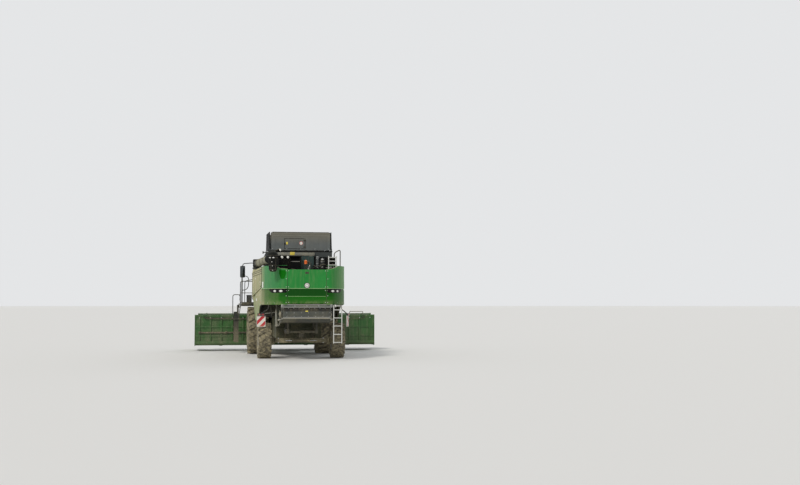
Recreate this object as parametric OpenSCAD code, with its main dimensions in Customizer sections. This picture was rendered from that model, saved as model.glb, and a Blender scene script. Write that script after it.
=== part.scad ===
// Combine harvester with grain header. Millimetres, Y forward, X to the machine's right, Z up.
// Inside the modules Y is measured from the front axle; placed() shifts it to the middle of the whole length.

/* [Body] */
// Width across the side panels
body_w = 2960; // [2860:20:3060]
// Distance from the front axle back to the tail face of the hood
tail_len = 6000; // [5900:20:6100]
// Height of the top edge of the side panels
side_top = 3300; // [3260:10:3340]
// Thickness of the panels of the hood and of the sides
panel_t = 40; // [30:2:44]
// Half width of the flat rear face of the hood
tail_flat = 680; // [640:10:700]
// Length of the rounded tail corners along the machine
tail_depth = 1500; // [1400:20:1520]
// Width of the threshing body
thresher_w = 1680; // [1600:20:1720]

/* [Front wheels] */
// Diameter of the front tyres over the lugs
front_tyre_d = 1850; // [1800:10:1870]
// Width of the front tyres
front_tyre_w = 800; // [700:20:820]
// Distance between the middles of the front tyres
front_track = 2700; // [2680:20:2760]
// Diameter of the front rims where the tyre sits
front_rim_d = 830; // [800:10:860]

/* [Rear wheels] */
// Distance between the axles
wheelbase = 3790; // [3760:10:3820]
// Diameter of the rear tyres over the lugs
rear_tyre_d = 1280; // [1240:10:1290]
// Width of the rear tyres
rear_tyre_w = 480; // [440:10:500]
// Distance between the middles of the rear tyres
rear_track = 2660; // [2640:10:2700]
// Diameter of the rear rims where the tyre sits
rear_rim_d = 610; // [580:10:640]
// Distance between the kingpins
kingpin_track = 2020; // [2000:10:2040]

/* [Cab] */
// Width of the cab
cab_w = 1800; // [1760:20:1840]
// Height of the cab floor over the ground
cab_floor = 2000; // [1995:5:2020]
// Height of the underside of the cab roof
cab_eaves = 3600; // [3560:10:3620]

/* [Grain tank] */
// Width across the upper tank walls
tank_w = 2320; // [2280:10:2330]
// Height of the rim of the grain tank
tank_rim = 3930; // [3900:10:3960]
// Height of the open tank lids over the rim
lid_h = 690; // [660:10:700]
// Length of the tank opening along the machine
tank_mouth = 1900; // [1880:10:1980]
// Thickness of the tank walls
tank_t = 30; // [24:2:36]

/* [Unloading auger] */
// Radius of the unloading tube
unload_r = 150; // [140:5:155]
// Height of the middle of the folded unloading tube
unload_z = 3530; // [3520:5:3560]

/* [Header] */
// Width across the header with its end sheets
header_w = 7600; // [6000:100:7800]
// Height of the back wall of the header
header_back = 1200; // [1160:20:1240]
// Radius of the cross auger over its flights
auger_r = 300; // [290:5:305]
// Radius of the tube of the cross auger
auger_tube_r = 200; // [180:5:210]
// Radius of the reel at the tine tips
reel_r = 540; // [520:5:545]
// Number of bats on the reel
bats = 6; // [5:1:6]
// Spacing of the tines along a bat
tine_pitch = 160; // [120:10:200]
// Spacing of the cutterbar fingers
finger_pitch = 152; // [76:2:152]

/* [Hidden] */

$fn = 48;
eps = 1;            // overlap where solids of one piece join
seat = 0.3;         // gap between separate pieces that touch
run = 6;            // clearance between moving pieces
pin_play = 0.05;    // radial play of a pin or shaft in its bore

half_w = body_w / 2;
tail_y = -tail_len;
front_r = front_tyre_d / 2;
rear_r = rear_tyre_d / 2;
rear_axle_y = -wheelbase;

// Plan of the tail corner: a flat face, a tight arc and a long arc that meet in a common tangent.
tail_turn = 50;
tail_a = half_w - tail_flat;
tail_s = sin(tail_turn);
tail_c = cos(tail_turn);
tail_det = tail_s * tail_c - (1 - tail_s) * (1 - tail_c);
tail_r1 = (tail_a * tail_c - tail_depth * (1 - tail_s)) / tail_det;
tail_r2 = (tail_depth * tail_s - tail_a * (1 - tail_c)) / tail_det;
hood_front_y = tail_y + tail_depth;
hood_mid_top = side_top - 130;
hood_low = 1950;

// Heights along the crease that runs down towards the front along the side.
crease_rear = 2560;
crease_drop = 0.088;
function crease_z(y) = crease_rear - crease_drop * (y - hood_front_y);

panel_front_y = -1260;
shield_front_y = 60;

thresher_top = 2350;
thresher_front_y = 570;
thresher_low = 1000;
feeder_pivot = [950, 1650];
feeder_w = 1400;
feeder_front = 2740;
cheek_t = 60;

header_y = feeder_front + 40;
header_low = 250;
header_sheet = 30;
knife_y = header_y + 1370;
divider_tip_y = knife_y + 950;
auger_at = [header_y + 470, 640];
reel_pivot = [header_y + 130, header_low + header_back + 90];
reel_at = [reel_pivot[0] + 1180, reel_pivot[1] - 480];
reel_len = header_w - 420;
bat_r = 370;

cab_rear_y = 60;
cab_front_y = 1880;
cab_t = 50;

tank_rear_y = -3670;
tank_front_y = -300;
tank_shoulder = 3250;
mouth_rear_y = tank_rear_y + tank_t;

// The unloading auger stands beside the tank's upper wall and runs in towards the tail.
turret_gap = 130;
turret_at = [-tank_w / 2 - unload_r - turret_gap, -1000];
tube_end = [turret_at[0] + 140, tail_y + 250];
spout_at = [turret_at[0] + 250, tail_y - 60];
function tube_x(y) = turret_at[0] + (tube_end[0] - turret_at[0]) * (turret_at[1] - y) / (turret_at[1] - tube_end[1]);

spout_back = 190;
guard_back = 120;
y_min = spout_at[1] - spout_back;
y_max = divider_tip_y;
frame_y = -(y_min + y_max) / 2;

// Shifts the machine along Y so that the middle of its length is at the origin.
module placed() translate([0, frame_y, 0]) children();

// Box between two opposite corners.
module block(a, b) translate(a) cube(b - a);

// Side-on outline of [y, z] points, given thickness from one x to another.
module slab(points, x0, x1) translate([x0, 0, 0]) rotate([90, 0, 90]) linear_extrude(x1 - x0) polygon(points);

// Plan outline of [x, y] points, given height from one z to another.
module plate(points, z0, z1) translate([0, 0, z0]) linear_extrude(z1 - z0) polygon(points);

// Rear-on outline of [x, z] points, given depth from one y to another.
module sheet(points, y0, y1) translate([0, y1, 0]) rotate([90, 0, 0]) linear_extrude(y1 - y0) polygon(points);

// Round bar from one point to another.
module rod(a, b, r, n = 24) {
  d = b - a;
  len = norm(d);
  translate(a) rotate([0, acos(d[2] / len), atan2(d[1], d[0])]) cylinder(r = r, h = len, $fn = n);
}

// Cylinder along X between two x at [y, z].
module shaft(x0, x1, at, r, n = 48) translate([x0, at[0], at[1]]) rotate([0, 90, 0]) cylinder(r = r, h = x1 - x0, $fn = n);

module both_sides() {
  children();
  mirror([1, 0, 0]) children();
}

// Bent tube: corners of the path are rounded in four steps, rings stand square to the path.
function unit(v) = v / norm(v);
function bend(a, b, c, r) = let(u = unit(a - b), w = unit(c - b),
  d = min(r, norm(a - b) / 2.01, norm(c - b) / 2.01))
  [for (t = [0:0.25:1]) b + u * d * pow(1 - t, 2) + w * d * pow(t, 2)];
function softened(p, r) = concat([p[0]],
  [for (i = [1:len(p) - 2]) each bend(p[i - 1], p[i], p[i + 1], r)], [p[len(p) - 1]]);
function heading(p, i) = unit(p[min(i + 1, len(p) - 1)] - p[max(i - 1, 0)]);
function square_to(v, t) = unit(v - (v * t) * t);
function side_of(t) = abs(t[2]) < 0.9 ? [0, 0, 1] : [1, 0, 0];
module bent_tube(path, r, round = 80, n = 8) {
  p = softened(path, round);
  m = len(p);
  sides = [for (i = 0, v = square_to(side_of(heading(p, 0)), heading(p, 0)); i < m;
    i = i + 1, v = i < m ? square_to(v, heading(p, i)) : v) v];
  pts = [for (i = [0:m - 1]) let(u = sides[i], w = cross(heading(p, i), u))
    for (k = [0:n - 1]) p[i] + r * (cos(360 * k / n) * u + sin(360 * k / n) * w)];
  faces = concat([[for (k = [0:n - 1]) k]],
    [for (i = [0:m - 2]) for (k = [0:n - 1]) let(a = i * n + k, b = i * n + (k + 1) % n) [a, a + n, b + n, b]],
    [[for (k = [n - 1:-1:0]) (m - 1) * n + k]]);
  polyhedron(pts, faces);
}

// Half plan of the tail at a given inset, from the flat rear face round to the side.
function tail_half(inset, y_end) = concat(
  [for (i = [0:6]) let(a = -90 + tail_turn * i / 6)
    [tail_flat + (tail_r1 - inset) * cos(a), tail_y + tail_r1 + (tail_r1 - inset) * sin(a)]],
  [for (i = [1:8]) let(a = -90 + tail_turn + (90 - tail_turn) * i / 8)
    [half_w - tail_r2 + (tail_r2 - inset) * cos(a), hood_front_y + (tail_r2 - inset) * sin(a)]],
  y_end > hood_front_y ? [[half_w - inset, y_end]] : []);
function reversed(p) = [for (i = [len(p) - 1:-1:0]) p[i]];
function mirrored(p) = [for (q = p) [-q[0], q[1]]];

// Wheels

// Tractor tyre with its axis along X: a carcass with slanted lugs that overlap at the middle.
module tyre(r, w, bead_r, lugs, lug_h) {
  tread = r - lug_h;
  mid = (bead_r + tread) / 2;
  half_profile = [[bead_r, w * 0.40], [bead_r + 30, w * 0.40], [mid - 20, w * 0.495], [mid + 70, w * 0.5],
    [tread - 55, w * 0.47], [tread - 15, w * 0.38], [tread, w * 0.2]];
  color("#4a463c") {
    rotate([0, 90, 0]) rotate_extrude($fn = 144)
      polygon(concat([for (q = half_profile) [q[0], -q[1]]], reversed(half_profile)));
    intersection() {
      for (i = [0:lugs - 1], s = [0, 1]) rotate([360 * (i + s / 2) / lugs, 0, 0])
        mirror([s, 0, 0]) lug(r, w, tread, 2 * PI * r / lugs);
      rotate([0, 90, 0]) cylinder(r = r, h = w, center = true, $fn = 144);
    }
  }
}

module lug(r, w, tread, pitch) {
  bar = pitch * 0.26;
  translate([0, 0, tread - 80]) linear_extrude(r - tread + 90)
    polygon([[-w * 0.03, bar * 0.5], [-w * 0.03, -bar * 0.5], [w * 0.28, -bar * 0.5 - w * 0.2],
      [w * 0.49, -bar * 0.6 - w * 0.27], [w * 0.49, bar * 0.6 - w * 0.27], [w * 0.28, bar * 0.5 - w * 0.2]]);
}

// Rim with a dished disc; x of the disc is measured from the middle of the tyre, towards the machine.
module rim(seat_r, w, disc_x, hub_r, bore_r, bolts) {
  out = seat_r - seat;
  lip = w * 0.40 + seat;
  wall = 16;
  color("#d8d6cc") difference() {
    union() {
      rotate([0, 90, 0]) rotate_extrude($fn = 96) polygon([[out - wall, -lip - 12], [out + 24, -lip - 12],
        [out + 24, -lip], [out, -lip], [out, lip], [out + 24, lip], [out + 24, lip + 12], [out - wall, lip + 12]]);
      shaft(disc_x - 10, disc_x + 10, [0, 0], out - wall + eps, 96);
      shaft(disc_x - 10, disc_x + 70, [0, 0], hub_r, 48);
    }
    for (i = [0:bolts - 1]) rotate([360 * i / bolts, 0, 0]) shaft(disc_x - 20, disc_x + 20, [0, seat_r * 0.72], seat_r * 0.09, 24);
    if (bore_r > 0) shaft(disc_x - 20, disc_x + 80, [0, 0], bore_r, 48);
  }
}

front_disc_x = 150;   // from the middle of the tyre to the disc, towards the machine
front_hub_r = 150;
front_stub_r = 70;
rear_disc_x = 60;
rear_hub_r = 100;
rear_spindle_r = 45;

module front_wheel_at(side) translate([side * front_track / 2, 0, front_r]) mirror([side > 0 ? 1 : 0, 0, 0]) children();
module rear_wheel_at(side) translate([side * rear_track / 2, rear_axle_y, rear_r]) mirror([side > 0 ? 1 : 0, 0, 0]) children();

module front_tyre(side) placed() front_wheel_at(side) tyre(front_r, front_tyre_w, front_rim_d / 2, 18, 45);
module rear_tyre(side) placed() rear_wheel_at(side) tyre(rear_r, rear_tyre_w, rear_rim_d / 2, 16, 32);

// The front wheel turns on its drive stub, which runs in the final drive.
module front_rim(side) placed() front_wheel_at(side) {
  rim(front_rim_d / 2, front_tyre_w, front_disc_x, front_hub_r, 0, 8);
  color("#d8d6cc") shaft(front_disc_x, front_disc_x + 190, [0, 0], front_stub_r);
}

module rear_rim(side) placed() rear_wheel_at(side)
  rim(rear_rim_d / 2, rear_tyre_w, rear_disc_x, rear_hub_r, rear_spindle_r + pin_play, 8);

// Final drives reach into the front rims; their end face stays clear of the disc.
drive_end = front_track / 2 - front_disc_x - 70 - run;
module front_axle() placed() color("#2f3230") difference() {
  union() {
    block([-700, -110, front_r - 120], [700, 110, front_r + 100]);
    both_sides() {
      block([699, -110, front_r - 120], [thresher_w / 2 + run + eps, 110, front_r + 100]);
      shaft(thresher_w / 2 + run, drive_end, [0, front_r], 260);
      shaft(thresher_w / 2 + run, 900, [0, front_r], 300);
    }
  }
  both_sides() shaft(drive_end - 130, drive_end + 10, [0, front_r], front_stub_r + pin_play);
}

beam_z = [rear_r - 80, rear_r + 80];
kingpin_x = kingpin_track / 2;
kingpin_r = 35;
yoke_r = 68;
module rear_axle() placed() color("#2f3230") difference() {
  union() {
    block([-kingpin_x + 60, rear_axle_y - 80, beam_z[0]], [kingpin_x - 60, rear_axle_y + 80, beam_z[1]]);
    both_sides() translate([kingpin_x, rear_axle_y, beam_z[0]]) cylinder(r = yoke_r, h = beam_z[1] - beam_z[0]);
    slab([[rear_axle_y - 60, beam_z[1] - 5], [rear_axle_y + 60, beam_z[1] - 5], [rear_axle_y + 60, 880],
      [rear_axle_y - 60, 880]], -60, 60);
    shaft_y(0, rear_axle_y - 90 + seat, rear_axle_y + 90 - seat, 880, 75);
  }
  shaft_y(0, rear_axle_y - 100, rear_axle_y + 100, 880, 40);
  both_sides() translate([kingpin_x, rear_axle_y, 0]) cylinder(r = kingpin_r + pin_play, h = 2000);
}

// Fork round the end of the axle, with the kingpin and the wheel spindle.
module knuckle(side) placed() color("#2f3230") translate([side * kingpin_x, rear_axle_y, 0])
  mirror([side < 0 ? 1 : 0, 0, 0]) {
    for (z = [beam_z[0] - run - 40, beam_z[1] + run]) difference() {
      union() {
        translate([0, 0, z]) cylinder(r = 62, h = 40);
        block([0, -62, z], [110, 62, z + 40]);
      }
    }
    translate([0, 0, beam_z[0] - run - 60]) cylinder(r = kingpin_r, h = beam_z[1] - beam_z[0] + 2 * run + 120);
    block([80, -62, beam_z[0] - run - 40], [112, 62, beam_z[1] + run + 40]);
    shaft(100, rear_track / 2 - kingpin_x - rear_disc_x - 70 - run, [0, rear_r], 75);
    shaft(100, rear_track / 2 - kingpin_x - rear_disc_x + 20, [0, rear_r], rear_spindle_r);
    block([20, -190, beam_z[0] - run - 40], [70, -40, beam_z[0] - run - 10]);
  }

// Chassis and threshing body

rail_x = 515;
module chassis() placed() color("#2c2f2d") {
  difference() {
    union() {
      both_sides() {
        slab([[thresher_front_y - 40, 990], [thresher_front_y - 40, 880], [200, 860], [192, 722], [-900, 620], [-3050, 620],
          [-3250, 900], [-4400, 900], [-4400, 1060], [-3300, 1060], [-3075, 700 - seat], [-700, 700 - seat],
          [-330, 990]], rail_x - 45, rail_x + 45);
        for (x = [rail_x - 46, rail_x + 31]) slab([[150, 718], [180, 700], [260, 700], [300, 760], [260, 820], [200, 861], [150, 861]], x, x + 15);
        for (y = [-4380, -3480]) slab([[y, 1059], [y, body_low(y) - seat], [y + 80, body_low(y + 80) - seat], [y + 80, 1059]],
          rail_x - 30, rail_x + 30);
      }
      for (y = [-4380, rear_axle_y - 160, rear_axle_y + 90, -2200, -800]) {
        z = y < -3200 ? 930 : 630;
        block([-rail_x, y, z], [rail_x, y + 70, z + 60]);
      }
      for (y = [rear_axle_y - 160, rear_axle_y + 90]) block([-90, y, 760], [90, y + 70, 960]);
      for (z = [912, 988]) block([-60, hitch_at[1] - 50, z], [60, -4370, z + 20]);
    }
    both_sides() {
      block([rail_x - 60, -110 - seat, front_r - 120 - seat], [rail_x + 60, 110 + seat, 1100]);
      shaft(rail_x - 60, rail_x + 60, lift_base, 18);
      block([rail_x - 31, 190, 600], [rail_x + 31, 310, 859]);
    }
    translate([hitch_at[0], hitch_at[1], 850]) cylinder(r = hitch_bore / 2, h = 200);
  }
  shaft_y(0, rear_axle_y - 160, rear_axle_y + 160, 880, 40 - pin_play);
}
// Underside of the threshing body behind the rear axle.
function body_low(y) = 1330 + (-3350 - y) / 1450 * 70;

hitch_at = [0, -4500];
hitch_bore = 32;
// Rib from the threshing body out to the panels.
module outrigger(y) {
  top = min(crease_z(y) - 60, 2300);
  low = y < -3000 ? 1960 : y > -100 ? 2000 : 1500;
  block([thresher_w / 2 + seat, y, low], [half_w - panel_t - seat, y + 20, top]);
}

// Ribs that carry the panels and shields, with the bar that ties them along the body.
module panel_ribs() placed() color("#2c2f2d") both_sides() {
  for (y = [-4440, -2950, -1330, -20]) outrigger(y);
  block([thresher_w / 2 + seat, -4440, 1500], [thresher_w / 2 + 60, 30, 1560]);
}

module threshing_body() placed() color("#5d6a4b") difference() {
  slab([[-4800, thresher_top], [-4800, 1400], [-3350, 1330], [-3060, 1100], [-3060, 700], [-700, 700], [-330, 1060],
    [250, 1060], [300, thresher_low], [thresher_front_y, thresher_low + 150], [thresher_front_y, cab_floor - seat],
    [-tank_t, cab_floor - seat], [-tank_t, thresher_top]], -thresher_w / 2, thresher_w / 2);
  block([-720, thresher_front_y - 300, 1250], [720, thresher_front_y + 10, 1900]);
  block([-780, -4810, 1480], [780, -4300, 2280]);
}

// Header

function along(a, b, t) = a + (b - a) * t;

module cheeks() both_sides() difference() {
  slab([[thresher_front_y - 40, 1150], [feeder_pivot[0] + 100, 1500], [feeder_pivot[0] + 120, 1760],
    [feeder_pivot[0] + 120, cab_floor - seat], [thresher_front_y - 40, cab_floor - seat]], thresher_w / 2 + seat, thresher_w / 2 + cheek_t);
  shaft(thresher_w / 2 - 10, thresher_w / 2 + cheek_t + 10, feeder_pivot, 45);
}
// The feeder house hangs on a cross shaft and slopes down to the header.
module feeder_house() placed() {
  p = feeder_pivot;
  color("#4e5a3c") difference() {
    slab([[p[0] - 130, p[1] + 300], [p[0] - 40, p[1] + 340], [p[0] + 300, p[1] + 240], [feeder_front, 1050],
      [feeder_front, 330], [p[0] + 200, 1240], [p[0] - 100, 1320]], -feeder_w / 2, feeder_w / 2);
    slab([[p[0] - 200, p[1] + 250], [p[0] + 280, p[1] + 190], [feeder_front + 10, 990], [feeder_front + 10, 400],
      [p[0] + 200, 1300], [p[0] - 200, 1360]], -feeder_w / 2 + 40, feeder_w / 2 - 40);
  }
  color("#777") shaft(-thresher_w / 2 - cheek_t, thresher_w / 2 + cheek_t, p, 45 - pin_play);
  color("#2c2f2d") both_sides() {
    for (x = [rail_x - 50, rail_x + 34])
      slab([[1850, 860], [2300, 600], [2230, 500], [2110, 500], [1850, 720]], x, x + 16);
    shaft(rail_x - 50, rail_x + 50, lift_eye, 16);
  }
}
lift_base = [240, 760];
lift_eye = [2150, 555];
lift_dir = unit(lift_eye - lift_base);
function lift_point(d) = lift_base + lift_dir * d;
module lift_barrels() placed() color("#1f2221") both_sides() {
  a = lift_point(0);
  b = lift_point(80);
  c = lift_point(1100);
  difference() {
    union() {
      shaft(rail_x - 26, rail_x + 26, lift_base, 38);
      shaft(rail_x - 46, rail_x + 46, lift_base, 18 - pin_play);
      rod([rail_x, a[0], a[1]], [rail_x, b[0], b[1]], 24, 32);
      rod([rail_x, b[0], b[1]], [rail_x, c[0], c[1]], 50, 32);
    }
    rod([rail_x, lift_point(300)[0], lift_point(300)[1]], [rail_x, lift_point(1110)[0], lift_point(1110)[1]], 28 + pin_play, 32);
  }
}
module lift_rods() placed() color("#c9ccd0") both_sides() {
  a = lift_point(700);
  b = lift_eye;
  difference() {
    union() {
      rod([rail_x, a[0], a[1]], [rail_x, b[0], b[1]], 28, 32);
      shaft(rail_x - 24, rail_x + 24, lift_eye, 48);
    }
    shaft(rail_x - 40, rail_x + 40, lift_eye, 30);
  }
}
// Trough of the header: back wall with the feeder mouth, floor, end sheets with dividers.
module header_trough() placed() {
  top = header_low + header_back;
  inner = header_w / 2 - header_sheet;
  color("#4f6b2e") {
    difference() {
      union() {
        slab([[header_y, top], [header_y, header_low + 60], [header_y + 60, header_low - 20],
          [knife_y - 60, header_low - 20], [knife_y - 60, header_low], [header_y + 560, header_low + 20],
          [header_y + 260, header_low + 50], [header_y + 80, header_low + 200], [header_y + 30, header_low + 420],
          [header_y + 30, top]], -inner, inner);
        slab([[header_y - 30, top - 20], [header_y + 90, top - 20], [header_y + 90, top + 60],
          [header_y - 30, top + 60]], -inner, inner);
        slab([[header_y - 70, header_low + 60], [header_y + eps, header_low + 60], [header_y + eps, header_low + 160],
          [header_y - 70, header_low + 160]], -inner, -feeder_w / 2 - 40);
        slab([[header_y - 70, header_low + 60], [header_y + eps, header_low + 60], [header_y + eps, header_low + 160],
          [header_y - 70, header_low + 160]], feeder_w / 2 + 40, inner);
        block([-feeder_w / 2, feeder_front + seat, 330], [feeder_w / 2, header_y + eps, 1050]);
      }
      block([-640, feeder_front - 60, 420], [640, header_y + 120, 980]);
    }
    both_sides() {
      difference() {
        slab([[header_y - 30, top + 60], [header_y - 30, header_low - 40], [knife_y - 40, header_low - 50],
        [divider_tip_y, header_low - 20], [divider_tip_y - 20, header_low + 40], [knife_y + 250, 640],
          [knife_y - 260, 800], [header_y + 500, 1120], [header_y + 220, top + 60]], inner - eps, header_w / 2);
        shaft(inner - 10, header_w / 2 + 10, auger_at, 30);
      }
      hull() {
        block([header_w / 2 - 120, knife_y - 120, header_low - 20], [header_w / 2 - 30 + eps, knife_y, 520]);
        block([header_w / 2 - 32, divider_tip_y - 30, header_low], [header_w / 2 - 30 + eps, divider_tip_y - 20, header_low + 20]);
      }
    }
  }
  color("#333") for (x = [-2700, -900, 900, 2700])
    slab([[header_y + 300, header_low - 19], [knife_y - 200, header_low - 19], [knife_y - 260, header_low - 50],
      [header_y + 420, header_low - 50]], x - 60, x + 60);
}

// Cutterbar: a flat bar with pointed fingers.
module cutterbar() placed() color("#6a6a66") {
  inner = header_w / 2 - 120 - seat;
  n = floor((2 * inner - 40) / finger_pitch);
  x0 = -n * finger_pitch / 2;
  tip = 110;
  fingers = [for (i = [0:n - 1]) let(x = x0 + i * finger_pitch + finger_pitch / 2)
    each [[x + 22, knife_y + 40], [x, knife_y + 40 + tip], [x - 22, knife_y + 40]]];
  plate(concat([[-inner, knife_y - 60 + seat]], [[-inner, knife_y + 40]], [for (i = [0:n - 1])
    let(x = x0 + i * finger_pitch + finger_pitch / 2)
    each [[x - 22, knife_y + 40], [x - 3, knife_y + 40 + tip], [x + 3, knife_y + 40 + tip], [x + 22, knife_y + 40]]],
    [[inner, knife_y + 40], [inner, knife_y - 60 + seat]]), header_low - 18, header_low + 8);
}

// Screw flight: a strip between two radii wound along X. Hand is 1 or -1.
module flight(x0, x1, pitch, r0, r1, t, hand) {
  steps = ceil(abs(x1 - x0) / pitch * turn_steps);
  pts = [for (i = [0:steps]) let(f = i / steps, x = x0 + (x1 - x0) * f, a = hand * 360 * (x1 - x0) * f / pitch)
    each [for (q = [[r0, -t / 2], [r1, -t / 2], [r1, t / 2], [r0, t / 2]])
      [x + q[1], q[0] * cos(a), q[0] * sin(a)]]];
  faces = concat([[0, 1, 2, 3]], [for (i = [0:steps - 1]) for (k = [0:3]) let(a = i * 4 + k, b = i * 4 + (k + 1) % 4)
    each [[a, a + 4, b + 4], [a, b + 4, b]]], [[3, 2, 1, 0] + steps * 4 * [1, 1, 1, 1]]);
  if (hand > 0) polyhedron(pts, faces);
  else polyhedron(pts, [for (f = faces) reversed(f)]);
}

auger_len = header_w - 2 * header_sheet - 60;
turn_steps = 16;    // straight pieces in one turn of a flight
flight_root = (auger_tube_r + seat) / cos(180 / turn_steps);
module cross_auger() placed() translate([0, auger_at[0], auger_at[1]]) {
  color("#5d6650") {
    shaft(-auger_len / 2, auger_len / 2, [0, 0], auger_tube_r);
    for (i = [0:9]) rotate([i * 137, 0, 0]) translate([-540 + i * 120, 0, 0]) cylinder(r = 8, h = auger_r - 6, $fn = 8);
  }
  color("#777") shaft(-header_w / 2 + header_sheet - 20, header_w / 2 - header_sheet + 20, [0, 0], 30 - pin_play);
}

// Flights of opposite hand that carry the crop to the middle of the header.
module auger_flights() placed() translate([0, auger_at[0], auger_at[1]]) color("#5d6650") {
  flight(-auger_len / 2 + 20, -640, 560, flight_root, auger_r, 8, 1);
  flight(640, auger_len / 2 - 20, 560, flight_root, auger_r, 8, -1);
}

// Reel: tube, five spiders and bats that carry hanging tines.
module reel() placed() translate([0, reel_at[0], reel_at[1]]) {
  half = reel_len / 2;
  n = floor((reel_len - 200) / tine_pitch);
  tine = reel_r - bat_r - 6;
  color("#3c4044") {
    shaft(-half, half, [0, 0], 70, 12);
    for (i = [0:4]) let(x = -half + 20 + i * (reel_len - 60) / 4) for (k = [0:bats - 1]) rotate([360 * k / bats + 15, 0, 0])
      block([x, -25, 50], [x + 20, 25, bat_r + 5]);
    for (k = [0:bats - 1]) let(a = 360 * k / bats + 15) translate([0, -bat_r * sin(a), bat_r * cos(a)]) {
      shaft(-half, half, [0, 0], 22, 8);
      sheet(concat([[-half + 40, 8]], [for (i = [0:n - 1]) let(x = -half + 100 + i * tine_pitch)
        each [[x - 12, -8], [x - 5, -tine], [x + 5, -tine], [x + 12, -8]]], [[half - 40, 8]]), -5, 5);
    }
  }
  color("#777") shaft(-half - 60, half + 60, [0, 0], 28 - pin_play);
}

module reel_arms() placed() color("#4f6b2e") {
  x = reel_len / 2 + 25;
  d = unit(reel_at - reel_pivot);
  n = [-d[1], d[0]];
  both_sides() difference() {
    union() {
      slab([reel_pivot + n * 36, reel_pivot - n * 36, reel_at - n * 45, reel_at + n * 45], x, x + 45);
      shaft(x, x + 45, reel_pivot, 40);
      shaft(x, x + 45, reel_at, 60);
    }
    shaft(x - 10, x + 60, reel_at, 28);
  }
  shaft(-x - 10, x + 10, reel_pivot, 28 - pin_play);
}
reel_stand_x = [-3300, -1100, 1100, 3300];
module reel_stands() color("#4f6b2e") for (x = reel_stand_x) difference() {
  slab([[reel_pivot[0] - 90, header_low + header_back + 40], [reel_pivot[0] - 30, header_low + header_back + 40],
    [reel_pivot[0] + 50, reel_pivot[1] - 10], [reel_pivot[0] + 50, reel_pivot[1] + 50],
    [reel_pivot[0] - 60, reel_pivot[1] + 50]], x - 15, x + 15);
  shaft(x - 20, x + 20, reel_pivot, 28);
}

// Cab

cab_profile = [[cab_rear_y, cab_floor], [cab_rear_y, cab_eaves], [cab_front_y - 60, cab_eaves],
  [cab_front_y, cab_floor + 700], [cab_front_y - 180, cab_floor]];
door_window = [[cab_rear_y + 700, cab_floor + 520], [cab_rear_y + 700, cab_eaves - 120], [cab_front_y - 260, cab_eaves - 120],
  [cab_front_y - 210, cab_floor + 700], [cab_front_y - 280, cab_floor + 520]];
door_opening = [[cab_rear_y + 620, cab_floor + 60], [cab_rear_y + 620, cab_eaves - 60], [cab_front_y - 170, cab_eaves - 60],
  [cab_front_y - 120, cab_floor + 700], [cab_front_y - 270, cab_floor + 60]];
rear_side_window = [[cab_rear_y + 90, cab_floor + 700], [cab_rear_y + 90, cab_eaves - 120],
  [cab_rear_y + 540, cab_eaves - 120], [cab_rear_y + 540, cab_floor + 700]];
right_window = [[cab_rear_y + 620, cab_floor + 520], [cab_rear_y + 620, cab_eaves - 120], [cab_front_y - 200, cab_eaves - 120],
  [cab_front_y - 150, cab_floor + 700], [cab_front_y - 230, cab_floor + 520]];
cab_half = cab_w / 2;

module cab() placed() color("#3b4a2c") difference() {
  slab(cab_profile, -cab_half, cab_half);
  slab([[cab_rear_y + cab_t, cab_floor + 60], [cab_rear_y + cab_t, cab_eaves - 50], [cab_front_y - 60 - cab_t, cab_eaves - 50],
    [cab_front_y - cab_t, cab_floor + 700], [cab_front_y - 220, cab_floor + 60]], -cab_half + cab_t, cab_half - cab_t);
  block([-cab_half + 90, cab_front_y - 400, cab_floor + 130], [cab_half - 90, cab_front_y + 100, cab_eaves - 110]);
  block([-cab_half + 120, cab_rear_y - 10, cab_floor + 900], [cab_half - 120, cab_rear_y + 100, cab_eaves - 120]);
  slab(door_opening, -cab_half - 10, -cab_half + cab_t + 10);
  slab(right_window, cab_half - cab_t - 10, cab_half + 10);
  both_sides() slab(rear_side_window, cab_half - cab_t - 10, cab_half + 10);
}
// Lugs that carry the pins of the door.
module door_lugs() color("#3b4a2c") for (z = door_hinge_z) difference() {
  translate([door_hinge[0], door_hinge[1], z + 66]) union() {
    cylinder(r = 9, h = 34);
    block([-4, -72, 0], [16 - seat, -4, 34]);
  }
  translate([door_hinge[0], door_hinge[1], z + 60]) cylinder(r = 5, h = 60);
}

roof_lamp_x = [-620, -380, 380, 620];
module cab_roof() placed() color("#4f6b2e") difference() {
  hull() for (s = [-1, 1]) {
    translate([s * (cab_half - 40), cab_rear_y + 80, cab_eaves + seat]) cylinder(r = 130, h = 190, $fn = 32);
    translate([s * (cab_half - 60), cab_front_y + 160, cab_eaves + seat]) cylinder(r = 150, h = 130, $fn = 32);
    translate([s * (cab_half - 160), cab_front_y - 200, cab_eaves + seat]) cylinder(r = 150, h = 240, $fn = 32);
  }
  for (x = roof_lamp_x) shaft_y(x, cab_front_y + 280, cab_front_y + 340, cab_eaves + 70, 62);
}
module shaft_y(x, y0, y1, z, r, n = 32) translate([x, y0, z]) rotate([-90, 0, 0]) cylinder(r = r, h = y1 - y0, $fn = n);

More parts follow.
